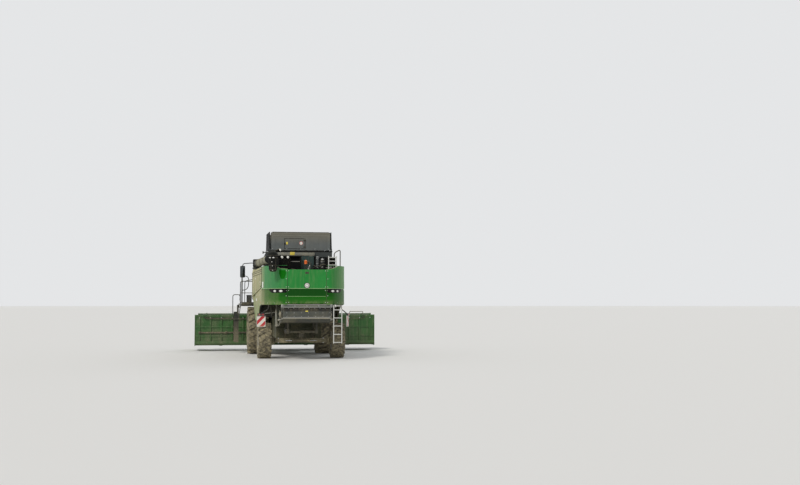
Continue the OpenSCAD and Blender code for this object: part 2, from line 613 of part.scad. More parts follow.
door_hinge = [-cab_half - 16, cab_rear_y + 622];
door_hinge_z = [cab_floor + 300, cab_eaves - 420];
module cab_glass() placed() color("#9fc0c8", 0.5) {
  half = cab_half - 90 - seat;
  slab([[cab_front_y - 22, cab_floor + 700], [cab_front_y - 12, cab_floor + 700], [cab_front_y - 60, cab_eaves - 110 - seat],
    [cab_front_y - 72, cab_eaves - 110 - seat]], -half, half);
  slab([[cab_front_y - 22, cab_floor + 699], [cab_front_y - 22, cab_floor + 701], [cab_front_y - 12, cab_floor + 701],
    [cab_front_y - 12, cab_floor + 699], [cab_front_y - 160, cab_floor + 130 + seat], [cab_front_y - 170, cab_floor + 130 + seat]], -half, half);
  slab(shrink(right_window, seat), cab_half - 35, cab_half - 25);
  both_sides() slab(shrink(rear_side_window, seat, 400, cab_floor + 1000), cab_half - 35, cab_half - 25);
  block([-cab_half + 120 + seat, cab_rear_y + 20, cab_floor + 900 + seat], [cab_half - 120 - seat, cab_rear_y + 30, cab_eaves - 120 - seat]);
}
function shrink(p, d, cy = 1150, cz = cab_floor + 800) = [for (q = p) [q[0] + (q[0] < cy ? d : -d), q[1] + (q[1] < cz ? d : -d)]];
module cab_door() placed() color("#3b4a2c") {
  difference() {
    slab(shrink(door_opening, run), -cab_half, -cab_half + cab_t - 10);
    slab(door_window, -cab_half - 10, -cab_half + cab_t + 10);
  }
  for (z = door_hinge_z) translate([door_hinge[0], door_hinge[1], 0]) {
    translate([0, 0, z]) cylinder(r = 9, h = 60);
    translate([0, 0, z + 59]) cylinder(r = 5 - pin_play, h = 46);
    block([-4, 0, z + 4], [16 + eps, 90, z + 56]);
  }
}
module cab_door_glass() placed() color("#9fc0c8", 0.5) slab(shrink(door_window, seat), -cab_half + 10, -cab_half + 20);

module cab_chair() placed() {
  y = cab_rear_y + 620;
  color("#333") block([-90, y - 120, cab_floor + 60 + seat], [90, y + 120, cab_floor + 420]);
  color("#3f4145") {
    hull() for (s = [-1, 1], t = [0, 1]) translate([s * 200, y - 180 + t * 400, cab_floor + 419]) cylinder(r = 50, h = 110, $fn = 24);
    hull() {
      block([-230, y - 260, cab_floor + 480], [230, y - 160, cab_floor + 560]);
      block([-200, y - 330, cab_floor + 1140], [200, y - 260, cab_floor + 1160]);
    }
  }
}

wheel_at = [0, cab_front_y - 560, cab_floor + 830];
module cab_console() placed() {
  color("#35383a") {
    difference() {
      hull() {
        block([-90, cab_front_y - 480, cab_floor + 60 + seat], [90, cab_front_y - 330, cab_floor + 80]);
        block([-50, wheel_at[1] + 20, wheel_at[2] - 150], [50, wheel_at[1] + 110, wheel_at[2] - 100]);
      }
      translate(wheel_at) rotate([28, 0, 0]) translate([0, 0, -160]) cylinder(r = 16 + pin_play, h = 120);
    }
    block([300, cab_rear_y + 420, cab_floor + 60 + seat], [440, cab_rear_y + 900, cab_floor + 600]);
    hull() {
      block([290, cab_rear_y + 380, cab_floor + 599], [450, cab_rear_y + 1000, cab_floor + 640]);
      block([300, cab_rear_y + 800, cab_floor + 640], [440, cab_rear_y + 1020, cab_floor + 680]);
    }
  }
}
module hand_wheel() placed() color("#222") translate(wheel_at) rotate([28, 0, 0]) {
  rotate_extrude($fn = 48) translate([190, 0]) circle(r = 15, $fn = 24);
  for (a = [0, 120, 240]) rotate([0, 0, a]) block([0, -12, -8], [190, 12, 8]);
  translate([0, 0, -14]) cylinder(r = 40, h = 28);
  translate([0, 0, -150]) cylinder(r = 16, h = 150);
}
// Left platform over the wheel, with its rails and the post of the ladder.
plat_x = [-1980, -cab_half - seat];
plat_y = [100, 1820];
ladder_y = [960, 1440];
module platform() placed() {
  h = ladder_y[0] - 60;
  color("#3a3d3b") {
    block([plat_x[0], plat_y[0], 1940], [plat_x[1], plat_y[1], 1980]);
    difference() {
      union() {
        block([ladder_pivot[0] - 20, ladder_pivot[1] - 20, 1937], [plat_x[0] + eps, ladder_pivot[1] + 20, 1979]);
        block([ladder_pivot[0] - 20, ladder_pivot[1] - 20, 1812], [plat_x[0] + 10, ladder_pivot[1] + 20, 1852]);
        block([plat_x[0] - 8, ladder_pivot[1] - 20, 1812], [plat_x[0] + 10, ladder_pivot[1] + 20, 1941]);
      }
      translate([ladder_pivot[0], ladder_pivot[1], 1800]) cylinder(r = 12, h = 200);
    }
  }
  color("#2a2c2b") {
    bent_tube([[-1960, 140, 1979], [-1960, 140, 3030], [-1960, 560, 3030], [-1960, 560, 1979]], 17);
    bent_tube([[-1960, 140, 2500], [-1960, 560, 2500]], 14);
    bent_tube([[-1960, 1795, 1979], [-1960, 1795, 2900], [-1200, 1795, 2900], [-1200, 1795, 1979]], 17);
    bent_tube([[-1960, 1795, 2420], [-1200, 1795, 2420]], 14);
    bent_tube([[-1930, h, 1970], [-2012, h, 2060], [-2012, h, 2340], [-2300, h, 2340], [-2300, h, 1350], [-2040, h, 1350],
      [-2040, h, 1600], [-1976, h, 1950]], 15);
    block([-1770, 250, 1980 - eps], [-1580, 500, 2310]);
  }
}
ladder_pivot = [-2030, 1440];
module cab_ladder() placed() color("#2f3231") {
  for (y = ladder_y) slab([[y - 15, 420], [y + 15, 420], [y + 15, 1930], [y - 15, 1930]], -2110, -2060);
  for (z = [450, 740, 1030, 1320, 1610]) block([-2250, ladder_y[0] - 14, z], [-2062, ladder_y[1] + 14, z + 30]);
  for (y = ladder_y) slab([[y - 8, 420], [y + 8, 420], [y + 8, 1650], [y - 8, 1650]], -2240, -2109);
  translate([ladder_pivot[0], ladder_pivot[1], 1860]) cylinder(r = 24, h = 70);
  translate([ladder_pivot[0], ladder_pivot[1], 1820]) cylinder(r = 12 - pin_play, h = 150);
  block([-2070, ladder_y[1] - 14, 1862], [ladder_pivot[0], ladder_y[1] + 14, 1928]);
}

module mirrors() placed() color("#232524") for (s = [-1, 1]) {
  bent_tube([[s * (cab_half + 90 + seat), cab_front_y - 160, 3655], [s * 1060, cab_front_y - 160, 3655], [s * 1510, cab_front_y - 260, 3650], [s * 1880, cab_front_y - 270, 3620],
    [s * 1880, cab_front_y - 270, 3400]], 16);
  hull() for (z = [3090, 3490], x = [-60, 60]) translate([s * 1885 + x, cab_front_y - 290, z]) rotate([-90, 0, 0])
    cylinder(r = 40, h = 50, $fn = 16);
}

// Grain tank

tank_half = tank_w / 2;
tank_low_half = half_w - panel_t - 40;
module grain_tank() placed() color("#3a3f3a") difference() {
  union() {
    block([-tank_low_half, tank_rear_y, thresher_top + seat], [tank_low_half, tank_front_y, tank_shoulder]);
    slab([[tank_rear_y, tank_shoulder - eps], [tank_rear_y, tank_rim], [mouth_rear_y + tank_mouth + tank_t, tank_rim],
      [tank_front_y, tank_rim - 120], [tank_front_y, tank_shoulder - eps]], -tank_half, tank_half);
    both_sides() {
      for (h = [rear_hinge, front_hinge]) block([end_lid_half + run, h[0] - 14, tank_rim - eps], [tank_half - 8, h[0] + 16, h[1] + 20]);
      for (y = [side_len[0] - 40, side_len[1] + run]) block([side_hinge_x - 14, y, tank_rim - eps], [tank_half, y + 34, side_hinge_z + 20]);
      for (y = panel_ears_y) panel_ear(y, tank_low_half - 30, tank_shoulder - eps);
    }
  }
  both_sides() {
    for (h = [rear_hinge, front_hinge]) shaft(end_lid_half - 10, tank_half + 10, h, hinge_r);
    shaft_y(side_hinge_x, side_len[0] - 50, side_len[1] + 50, side_hinge_z, hinge_r);
    shaft_y(panel_hinge[0], panel_ears_y[0] - 50, panel_ears_y[1] + 80, panel_hinge[1], panel_pin_r);
  }
  hull() {
    block([-tank_half + tank_t, mouth_rear_y, tank_shoulder - 300], [tank_half - tank_t, mouth_rear_y + tank_mouth, tank_rim + 10]);
    block([-300, mouth_rear_y + 300, thresher_top + 100], [300, mouth_rear_y + tank_mouth - 300, thresher_top + 110]);
  }
  translate([turret_at[0], turret_at[1], thresher_top + 500]) cylinder(r = unload_r + 20, h = 2000);
}

// Ear that carries the hinge of a side panel.
panel_pin_r = 6;
module panel_ear(y, x0, z0) {
  block([x0, y, z0], [tank_low_half, y + 30, panel_hinge[1] + 10]);
  block([tank_low_half - eps, y, panel_hinge[1] - 10], [panel_hinge[0], y + 30, panel_hinge[1] + 10]);
  shaft_y(panel_hinge[0], y, y + 30, panel_hinge[1], 10);
}

// Lids stand on hinges along the rim; the end lids stand inside the side lids.
lid_t = 25;
lean = 50;
side_lean = 10;
hinge_r = 12;
end_lid_half = tank_half - 60;
rear_hinge = [tank_rear_y + 16, tank_rim + 20];
front_hinge = [mouth_rear_y + tank_mouth + 14, tank_rim + 20];
side_hinge_x = tank_half - 16;
side_hinge_z = tank_rim + 60;
side_len = [tank_rear_y + 70, mouth_rear_y + tank_mouth - 60];
hatch_x = [-610, 160];
hatch_z = [tank_rim + 60, tank_rim + 460];

module leaning_lid(at, dir) {
  r = 80;
  top = lid_h - 20;
  difference() {
    union() {
      shaft(-tank_half + 10, tank_half - 10, at, hinge_r - pin_play);
      multmatrix([[1, 0, 0, 0], [0, 1, dir * lean / lid_h, at[0] - dir * lean / lid_h * 0], [0, 0, 1, at[1]], [0, 0, 0, 1]])
        translate([0, -lid_t / 2, 0]) rotate([90, 0, 0]) mirror([0, 0, 1]) linear_extrude(lid_t)
          union() {
            translate([-end_lid_half, 0]) square([2 * end_lid_half, top - r]);
            translate([-end_lid_half + r, 0]) square([2 * (end_lid_half - r), top]);
            for (s = [-1, 1]) translate([s * (end_lid_half - r), top - r]) circle(r = r, $fn = 48);
          }
    }
    children();
  }
}
module lid_rear() placed() color("#343734") {
  leaning_lid(rear_hinge, 1)
    block([hatch_x[0] - run, tank_rear_y - 100, hatch_z[0] - run], [hatch_x[1] + run, tank_rear_y + 150, hatch_z[1] + run]);
  for (z = hatch_ear_z) difference() {
    slab([[lid_y(z) - lid_t / 2 + 3, z], [lid_y(z) - lid_t / 2 - 14, z], [lid_y(z + 30) - lid_t / 2 - 14, z + 30], [lid_y(z + 30) - lid_t / 2 + 3, z + 30]],
      hatch_x[1] + run, hatch_x[1] + 22);
    hatch_pin(5, hatch_ear_z[0] - 60, hatch_ear_z[1] + 90);
  }
}
// Middle of the rear lid's plate at a given height.
function lid_y(z) = rear_hinge[0] + lean / lid_h * (z - rear_hinge[1]);
hatch_ear_z = [hatch_z[0] + 60, hatch_z[1] - 90];
module hatch_pin(r, z0, z1) rod([hatch_x[1] + 13, lid_y(z0) - lid_t / 2 - 7, z0], [hatch_x[1] + 13, lid_y(z1) - lid_t / 2 - 7, z1], r);
module lid_front() placed() color("#343734") leaning_lid(front_hinge, -1) cube(0.001);
module lid_hatch() placed() color("#343734") {
  slab([[lid_y(hatch_z[0]) - lid_t / 2, hatch_z[0]], [lid_y(hatch_z[0]) + lid_t / 2, hatch_z[0]],
    [lid_y(hatch_z[1]) + lid_t / 2, hatch_z[1]], [lid_y(hatch_z[1]) - lid_t / 2, hatch_z[1]]], hatch_x[0], hatch_x[1]);
  hatch_pin(5 - pin_play, hatch_ear_z[0] - 50, hatch_ear_z[1] + 80);
  for (z = [hatch_ear_z[0] - 46, hatch_ear_z[1] + 36], q = [[-60, 0, 1], [-1, 13, -4]])
    slab([[lid_y(z) - lid_t / 2 + q[2], z], [lid_y(z) - lid_t / 2 - 10, z], [lid_y(z + 40) - lid_t / 2 - 10, z + 40],
      [lid_y(z + 40) - lid_t / 2 + q[2], z + 40]], hatch_x[1] + q[0], hatch_x[1] + q[1]);
}
module side_lid() {
  shaft_y(side_hinge_x, side_len[0] - 38, side_len[1] + 38, side_hinge_z, hinge_r - pin_play);
  multmatrix([[1, 0, -side_lean / lid_h, side_hinge_x], [0, 1, 0, 0], [0, 0, 1, side_hinge_z], [0, 0, 0, 1]])
    slab([[side_len[0], 0], [side_len[0] + 60, lid_h - 60], [side_len[1] - 60, lid_h - 60], [side_len[1], 0]],
      -lid_t / 2, lid_t / 2);
}
module lid_left() placed() color("#343734") mirror([1, 0, 0]) side_lid();
module lid_right() placed() color("#343734") side_lid();

// Unloading auger, folded back along the left of the tank

fold_angle = atan2(tube_end[0] - turret_at[0], turret_at[1] - tube_end[1]);
module unload_turret() placed() color("#262826") translate([turret_at[0], turret_at[1], 0]) {
  flange = unload_z - unload_r - 35;
  translate([0, 0, thresher_top + 500 + seat]) cylinder(r = unload_r, h = flange - 20 - thresher_top - 500 - seat);
  translate([0, 0, flange - 21]) cylinder(r = unload_r + 30, h = 21);
  translate([0, 0, flange - 1]) cylinder(r = 60 - pin_play, h = 44);
}
module unload_tube() placed() {
  color("#262826") translate([turret_at[0], turret_at[1], 0]) difference() {
    union() {
      translate([0, 0, unload_z - unload_r - 35 + seat]) cylinder(r = unload_r + 30, h = 26);
      translate([0, 0, unload_z - unload_r - 10]) cylinder(r = unload_r, h = unload_r + 10);
      translate([0, 0, unload_z]) sphere(r = unload_r + 4);
    }
    translate([0, 0, unload_z - unload_r - 60]) cylinder(r = 60, h = 75);
  }
  color("#8d8a6e") rod([turret_at[0], turret_at[1], unload_z], [tube_end[0], tube_end[1], unload_z], unload_r - 12, 48);
}
// Rubber boot at the end of the tube, hanging behind the hood corner.
module unload_spout() placed() color("#3a3e40") {
  u = unit([tube_end[0] - turret_at[0], tube_end[1] - turret_at[1], 0]);
  hull() {
    rod([tube_end[0], tube_end[1], unload_z] + seat * u, [tube_end[0], tube_end[1], unload_z] + 60 * u, unload_r, 32);
    translate([spout_at[0], spout_at[1], 3630]) sphere(r = spout_back - 11, $fn = 32);
  }
  hull() {
    translate([spout_at[0], spout_at[1], 3640]) cylinder(r = spout_back - 12, h = 1, $fn = 32);
    translate([spout_at[0], spout_at[1], 3140]) cylinder(r = 138, h = 1, $fn = 32);
    translate([spout_at[0], spout_at[1], 3085]) cylinder(r = 84, h = 1, $fn = 32);
  }
}

// Engine and its deck

deck_z = 3130;
deck_front_y = tank_rear_y - seat;
module engine() placed() {
  color("#2a2d2b") {
    block([-430, -5300, thresher_top + 80], [430, -4100, 3000]);
    block([-560, -5000, thresher_top + seat], [-430 + eps, -4300, 2700]);
    block([430 - eps, -5000, thresher_top + seat], [560, -4300, 2700]);
  }
}

module engine_deck() placed() {
  outline = concat(tail_half(panel_t + seat, -3900), [[half_w - panel_t - 40, -3900], [half_w - panel_t - 40, deck_front_y]]);
  color("#262927") {
    difference() {
      plate(concat(outline, reversed(mirrored(outline))), deck_z - 30, deck_z);
      block([-tail_flat - 2, tail_y, deck_z - 40], [tail_flat + 2, tail_y + panel_t + run, deck_z + 10]);
    }
    both_sides() difference() {
      block([360, door_axis[0] - 16, deck_z - eps], [400, door_axis[0] + 30, door_axis[1] + 16]);
      shaft(350, 410, door_axis, 10);
    }
    both_sides() for (y = deck_ears_y) difference() {
      panel_ear(y, 1340, deck_z - eps);
      shaft_y(panel_hinge[0], y - 10, y + 40, panel_hinge[1], panel_pin_r);
    }
    block([-900, -5150, deck_z - eps], [-500, -4500, 3600]);
    block([-930, deck_front_y - 110, 3700], [300, deck_front_y, 3800]);
    for (x = [-700, 100]) block([x, deck_front_y - 90, deck_z - eps], [x + 60, deck_front_y - 30, 3701]);
    block([-500 + eps, -4900, 3460], [-150, -4860, 3500]);
    block([-150 - eps, -4910, deck_z - eps], [-110, -4850, 3640]);
    block([880, -4800, deck_z - eps], [1140, -4400, 3620]);
  }
  color("#5b6b66") block([-70, -4760, deck_z - eps], [360, -4600, 3680]);
  color("#8b8f90") {
    rod([500, -4700, deck_z - eps], [500, -4700, 3650], 55, 32);
    translate([680, -4700, deck_z - eps]) cylinder(r = 95, h = 360);
    translate([680, -4700, deck_z + 358]) cylinder(r1 = 95, r2 = 60, h = 60);
  }
  color("#c8641e") translate([30, -5200, deck_z - eps]) cylinder(r = 22, h = 250);
  color("#d86a1a") translate([30, -5200, deck_z + 248]) cylinder(r = 52, h = 120);
}

module deck_rails() placed() {
  color("#d9dad6") {
    for (x = [870, 1150]) bent_tube([[x, -5000, deck_z + seat], [x, -5000, 3680]], 18);
    for (z = [3260, 3500]) bent_tube([[855, -5000, z], [1165, -5000, z]], 13);
  }
  color("#1f2120") {
    bent_tube([[1385, -4250, deck_z + seat], [1385, -4250, 3950], [1165, -4250, 3830], [1165, -4250, deck_z + seat]], 18);
    bent_tube([[tube_x(-5250) + 95, -5250, deck_z + seat], [tube_x(-5250) + 95, -5250, 3300], [tube_x(-5250) + 15, -5250, 3370]], 20);
    block([tube_x(-5250) - 75, -5275, 3362], [tube_x(-5250) + 75, -5225, unload_z - unload_r + 12 - run]);
  }
}

// Rear hood: two quarter shells with a cover ring, split by a groove that runs on along the sides.
module hood_shell(inset, t, z0, z1) {
  outer = tail_half(inset, hood_front_y);
  inner = tail_half(inset + t, hood_front_y);
  plate(concat(outer, reversed(inner)), z0, z1);
}
module hood() placed() color("#7aa32e") {
  both_sides() {
    difference() {
      hood_shell(0, panel_t, crease_rear - 60, side_top);
      slab([[tail_y - 10, hood_mid_top], [tail_y + 400, side_top + 10], [tail_y - 10, side_top + 10]], 0, half_w);
    }
    hood_shell(22, panel_t - 22, crease_rear - 101, crease_rear - 59);
    hood_shell(0, panel_t, hood_low, crease_rear - 100);
    block([tail_flat, tail_y + panel_t - eps, hood_low], [tail_flat + 60, tail_y + panel_t + 40, deck_z - 30 - seat]);
    block([thresher_w / 2 + seat, hood_front_y - 60, hood_low + 20], [half_w - panel_t + eps, hood_front_y - 40, deck_z - 30 - seat]);
    block([thresher_w / 2 + seat, hood_front_y - 400, 2200], [thresher_w / 2 + 25, hood_front_y - 40, 2260]);
  }
  block([-tail_flat - eps, tail_y + panel_t + run, deck_z - 150], [tail_flat + eps, tail_y + panel_t + 40, deck_z - 30 - seat]);
}
module hood_door() placed() color("#7aa32e") {
  w = tail_flat - run;
  block([-w, tail_y, crease_rear - 60], [w, tail_y + panel_t, hood_mid_top - 5]);
  block([-w, tail_y + 22, crease_rear - 101], [w, tail_y + panel_t, crease_rear - 59]);
  block([-w, tail_y, hood_low + 30], [w, tail_y + panel_t, crease_rear - 100]);
  both_sides() {
    shaft(300, 460, door_axis, 10 - pin_play);
    for (x = [300, 420]) block([x, tail_y + panel_t - eps, door_axis[1] - 10], [x + 40, door_axis[0], door_axis[1] + 10]);
  }
}

// Axis of the hood's rear door, inside its top edge, and of the panels along the sides.
door_axis = [tail_y + panel_t + 26, deck_z + 22];
panel_hinge = [half_w - panel_t - 15, side_top - 18];
panel_ears_y = [-3560, -1400];
deck_ears_y = [-4430, -3800];
// Side panels that lift on hinges at their top edge
module side_panel(side) placed() color("#86a340") {
  s = side > 0 ? [half_w - panel_t, half_w] : [-half_w, -half_w + panel_t];
  y0 = hood_front_y + run;
  difference() {
    slab([[y0, side_top], [y0, crease_z(y0) + 5], [panel_front_y, crease_z(panel_front_y) + 5], [panel_front_y, side_top]], s[0], s[1]);
    for (z = [side_top - 90, side_top - 150, side_top - 210])
      slab([[y0 - 1, z], [y0 - 1, z - 14], [panel_front_y + 1, z - 14], [panel_front_y + 1, z]],
        side > 0 ? s[1] - 12 : s[0] - 1, side > 0 ? s[1] + 1 : s[0] + 12);
  }
  mirror([side > 0 ? 0 : 1, 0, 0]) for (y = concat(deck_ears_y, panel_ears_y)) {
    shaft_y(panel_hinge[0], y - 34, y + 64, panel_hinge[1], panel_pin_r - pin_play);
    for (d = [-34, 36]) block([panel_hinge[0] - 4, y + d, panel_hinge[1] - 8], [half_w - panel_t + eps, y + d + 28, panel_hinge[1] + 8]);
  }
}

// Fixed shields: the lower skirts with the wheel arches and the upper front quarter by the turret.
module lower_shields() placed() color("#6f9a2c") {
  y0 = hood_front_y + run;
  skirt = [[y0, crease_z(y0) - run], [y0, hood_low], [rear_axle_y + 150, hood_low - 60], [rear_axle_y + 560, 1620],
    [-2950, 1420], [-1250, 1330], [-1080, 1560], [-860, 1830], [-600, 1960], [shield_front_y, 1990],
    [shield_front_y, crease_z(shield_front_y) - run]];
  both_sides() difference() {
    slab(skirt, half_w - panel_t, half_w);
  }
  upper = [[panel_front_y + run, side_top], [panel_front_y + run, crease_z(panel_front_y) + 5], [shield_front_y, crease_z(shield_front_y) + 5],
    [shield_front_y, side_top]];
  both_sides() {
    slab([[panel_front_y + run, crease_z(panel_front_y) - run - 2], [panel_front_y + run, crease_z(panel_front_y) + 7],
      [shield_front_y, crease_z(shield_front_y) + 7], [shield_front_y, crease_z(shield_front_y) - run - 2]], half_w - panel_t, half_w - 14);
  }
  slab(upper, half_w - panel_t, half_w);
  difference() {
    slab(upper, -half_w, -half_w + panel_t);
    block([-half_w - 10, turret_at[1] - unload_r - 45, thresher_top + 490], [-half_w + panel_t + 10, turret_at[1] + unload_r + 45, side_top + 10]);
  }
}

// Straw chopper under the tail
chop_at = [tail_y + 560, 1600];
chop_half = 860;
module chopper() placed() {
  color("#9a9a92") difference() {
    union() {
      difference() {
        slab([[tail_y + 120, 1900], [tail_y + 120, 1790], [chop_at[0] - 200, 1330], [chop_at[0] + 70, 1295], [chop_at[0] + 305, 1470],
          [chop_at[0] + 345, 1900]], -chop_half + 10, chop_half - 10);
        slab([[tail_y + 100, 1780], [chop_at[0] - 100, 1300], [chop_at[0] - 40, 1290], [chop_at[0] + 45, 1325], [chop_at[0] + 277, 1487],
          [chop_at[0] + 305, 1910], [tail_y + 200, 1910], [tail_y + 170, 1800]], -chop_half, chop_half);
      }
      both_sides() slab([[tail_y + 120, 1900], [tail_y + 120, 1850], [tail_y + 60, 1850], [tail_y + 60, 1770], [chop_at[0] - 200, 1330],
        [chop_at[0] + 70, 1295], [chop_at[0] + 305, 1470], [chop_at[0] + 345, 1900]], chop_half - 20, chop_half);
    }
    both_sides() {
      shaft(chop_half - 30, chop_half + 10, chop_at, 35);
      shaft(chop_half - 30, chop_half + 10, board_hinge, 18);
    }
  }
  color("#c6c8c4") {
    block([-chop_half - 10, tail_y + 30, 1850], [chop_half + 10, tail_y + 120 + eps, hood_low - seat]);
    block([chop_half, tail_y + 80, 1880], [960, tail_y + 150, hood_low - seat]);
    block([955, tail_y + 40, 1880], [1195, tail_y + 150, hood_low - seat]);
    for (x = [950, 1170]) difference() {
      block([x, rear_hinge_at[0] - 20, rear_hinge_at[1] - 20], [x + 25, tail_y + 41, rear_hinge_at[1] + 20]);
      shaft(x - 10, x + 35, rear_hinge_at, 14);
    }
  }
}
module chopper_rotor() placed() {
  color("#55575a") {
    shaft(-chop_half + 26, chop_half - 26, chop_at, 80, 24);
    translate([0, chop_at[0], chop_at[1]]) for (k = [0:3]) rotate([90 * k, 0, 0])
      plate(concat([[-chop_half + 40, -8]], [[-chop_half + 40, 8]], [[chop_half - 40, 8], [chop_half - 40, -8]]), 60, 100);
    translate([0, chop_at[0], chop_at[1]]) for (k = [0:3]) rotate([90 * k, 0, 0]) for (i = [0:13])
      translate([-chop_half + 75 + i * 120 + (k % 2) * 50, 0, 90]) block([-5, -30, 0], [5, 30, 145]);
  }
  color("#777") shaft(-chop_half, chop_half, chop_at, 35 - pin_play);
}

board_hinge = [tail_y + 90, 1800];
module tail_board() placed() color("#8f9087") {
  shaft(-chop_half, chop_half, board_hinge, 18 - pin_play, 48);
  slab([[tail_y + 84, 1800], [tail_y + 96, 1800], [tail_y + 36, 1500], [tail_y + 24, 1500]], -chop_half + 20 + run, chop_half - 20 - run);
  for (x = [-750:250:750]) slab([[tail_y + 88, 1760], [tail_y + 150, 1700], [tail_y + 60, 1510], [tail_y + 30, 1505]], x - 4, x + 4);
}

module guard_rail() placed() color("#e2e2dc") {
  y = tail_y - 40;
  half = [[840, y, 1470], [965, tail_y + 150, 1400], [965, tail_y + 520, 1420], [chop_half + seat, tail_y + 520, 1420]];
  bent_tube(concat([for (q = reversed(half)) [-q[0], q[1], q[2]]], half), 20);
}
rear_hinge_at = [tail_y + 10, 1900];
module rear_ladder() placed() color("#d9dad6") {
  for (x = [930, 1215]) block([x - 15, rear_hinge_at[0] - 45, 600], [x + 15, rear_hinge_at[0] - 15, 1915]);
  for (z = [620, 900, 1190, 1470, 1750]) block([930, rear_hinge_at[0] - 44, z], [1215, rear_hinge_at[0] - 16, z + 24]);
  shaft(915, 1230, rear_hinge_at, 14 - pin_play, 48);
  for (x = [930, 1215]) slab([[rear_hinge_at[0] - 20, 1886], [rear_hinge_at[0], 1886], [rear_hinge_at[0], 1914],
    [rear_hinge_at[0] - 20, 1914]], x - 15, x + 15);
}

board_at = [1530, tail_y + 800];
board_turn = 72;    // the right board is swung round, nearly edge-on from behind
// The arms of the boards hang from the middle of the hood's lower edge.
board_arm = [half_w - tail_r2 + (tail_r2 - panel_t / 2) * cos(24), hood_front_y - (tail_r2 - panel_t / 2) * sin(24)];
module warning_boards() placed() {
  for (s = [-1, 1]) {
    translate([s * board_at[0], board_at[1], 0]) rotate([0, 0, s < 0 ? 0 : board_turn]) {
      color("#e8e6e0") block([-150, -8, 1170], [150, 8, 1550]);
      color("#1f2120") block([-130, -40, 1549], [130, 20, 1640]);
    }
    color("#1f2120") bent_tube([[s * board_at[0], board_at[1], 1600], [s * board_at[0], board_at[1] + 150, 1620], [s * board_arm[0], board_arm[1], 1800],
      [s * board_arm[0], board_arm[1], hood_low - seat]], 19);
  }
}

module lamps() placed() color("#f2efe2") {
  both_sides() for (x = [900, 1090]) intersection() {
    shaft_y(x, tail_y - 50, tail_y + 900, 2415, 40);
    hood_shell(-8, 8 - seat, 2300, 2500);
  }
  for (x = roof_lamp_x) shaft_y(x, cab_front_y + 280 + seat, cab_front_y + 300, cab_eaves + 70, 62 - seat);
}
union() { chassis(); placed() cheeks(); }
panel_ribs();
threshing_body();
front_axle();
rear_axle();
knuckle(-1);  // knuckle_left
knuckle(1);  // knuckle_right
front_tyre(-1);  // front_tyre_left
front_tyre(1);  // front_tyre_right
front_rim(-1);  // front_rim_left
front_rim(1);  // front_rim_right
rear_tyre(-1);  // rear_tyre_left
rear_tyre(1);  // rear_tyre_right
rear_rim(-1);  // rear_rim_left
rear_rim(1);  // rear_rim_right
feeder_house();
lift_barrels();
lift_rods();
union() { header_trough(); placed() reel_stands(); }
cutterbar();
cross_auger();
auger_flights();
reel_arms();
reel();
union() { cab(); placed() door_lugs(); }
cab_roof();
cab_glass();
cab_door();
cab_door_glass();
cab_chair();
cab_console();
hand_wheel();
platform();
cab_ladder();
mirrors();
grain_tank();
lid_rear();
lid_front();
lid_left();
lid_right();
lid_hatch();
unload_turret();
unload_tube();
unload_spout();
engine();
engine_deck();
deck_rails();
hood();
hood_door();
side_panel(-1);  // side_panel_left
side_panel(1);  // side_panel_right
lower_shields();
chopper();
chopper_rotor();
tail_board();
guard_rail();
rear_ladder();
warning_boards();
lamps();
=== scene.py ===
import bpy
import bmesh
import math
from itertools import product
from mathutils import Matrix, Vector


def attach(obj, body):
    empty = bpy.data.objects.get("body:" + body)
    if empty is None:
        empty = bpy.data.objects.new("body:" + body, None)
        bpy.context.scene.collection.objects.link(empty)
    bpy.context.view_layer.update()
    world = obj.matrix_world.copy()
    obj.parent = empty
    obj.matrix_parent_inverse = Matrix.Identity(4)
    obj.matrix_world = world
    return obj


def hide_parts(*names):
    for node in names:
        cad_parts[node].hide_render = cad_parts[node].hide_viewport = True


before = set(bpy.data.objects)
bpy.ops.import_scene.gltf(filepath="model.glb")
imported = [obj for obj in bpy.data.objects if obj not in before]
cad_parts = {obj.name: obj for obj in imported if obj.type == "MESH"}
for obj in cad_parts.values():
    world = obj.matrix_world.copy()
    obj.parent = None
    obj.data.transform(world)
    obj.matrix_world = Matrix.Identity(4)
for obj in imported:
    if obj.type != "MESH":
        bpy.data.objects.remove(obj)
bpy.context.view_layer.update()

bl_info = {
    "name": "Combine harvester dressing",
    "version": (1, 0, 0),
    "blender": (4, 5, 0),
    "location": "3D View > Sidebar > Harvester",
    "description": "Paints a combine harvester and adds its fittings, lamps, seals and wear",
    "category": "Object",
}

AXLE_Y = 0.575  # the front axle stands this far ahead of the middle of the machine
TAIL = -6000  # rear face of the hood, in millimetres from the front axle as all sizes below
HALF = 1480  # half the width of the body
REAR_AXLE = -3790
FRONT_HUB = 925  # height of the front wheels' middle
TURRET = (-1440, -1000)  # axis that the unloading tube swings about
NAMED_SIDES = (-1, "left"), (1, "right")
SIDES = (-1, 1)
X, Y, Z, BACK = (1, 0, 0), (0, 1, 0), (0, 0, 1), (0, -1, 0)
BENCH = []
BOARD_TURN = math.radians(72)  # the right warning board is swung round


def srgb(r, g, b):
    """Screen colour 0..255 as the linear value that a shader takes."""
    return tuple(c / 12.92 if c <= 0.04045 else ((c + 0.055) / 1.055) ** 2.4 for c in (r / 255, g / 255, b / 255))


def tint(name, text, value):
    return bpy.props.FloatVectorProperty(name=name, description=text, default=value, size=3, min=0, max=1,
        subtype="COLOR")


def length(name, text, value):
    return bpy.props.FloatProperty(name=name, description=text, default=value, min=0.0005, max=1, unit="LENGTH",
        subtype="DISTANCE")


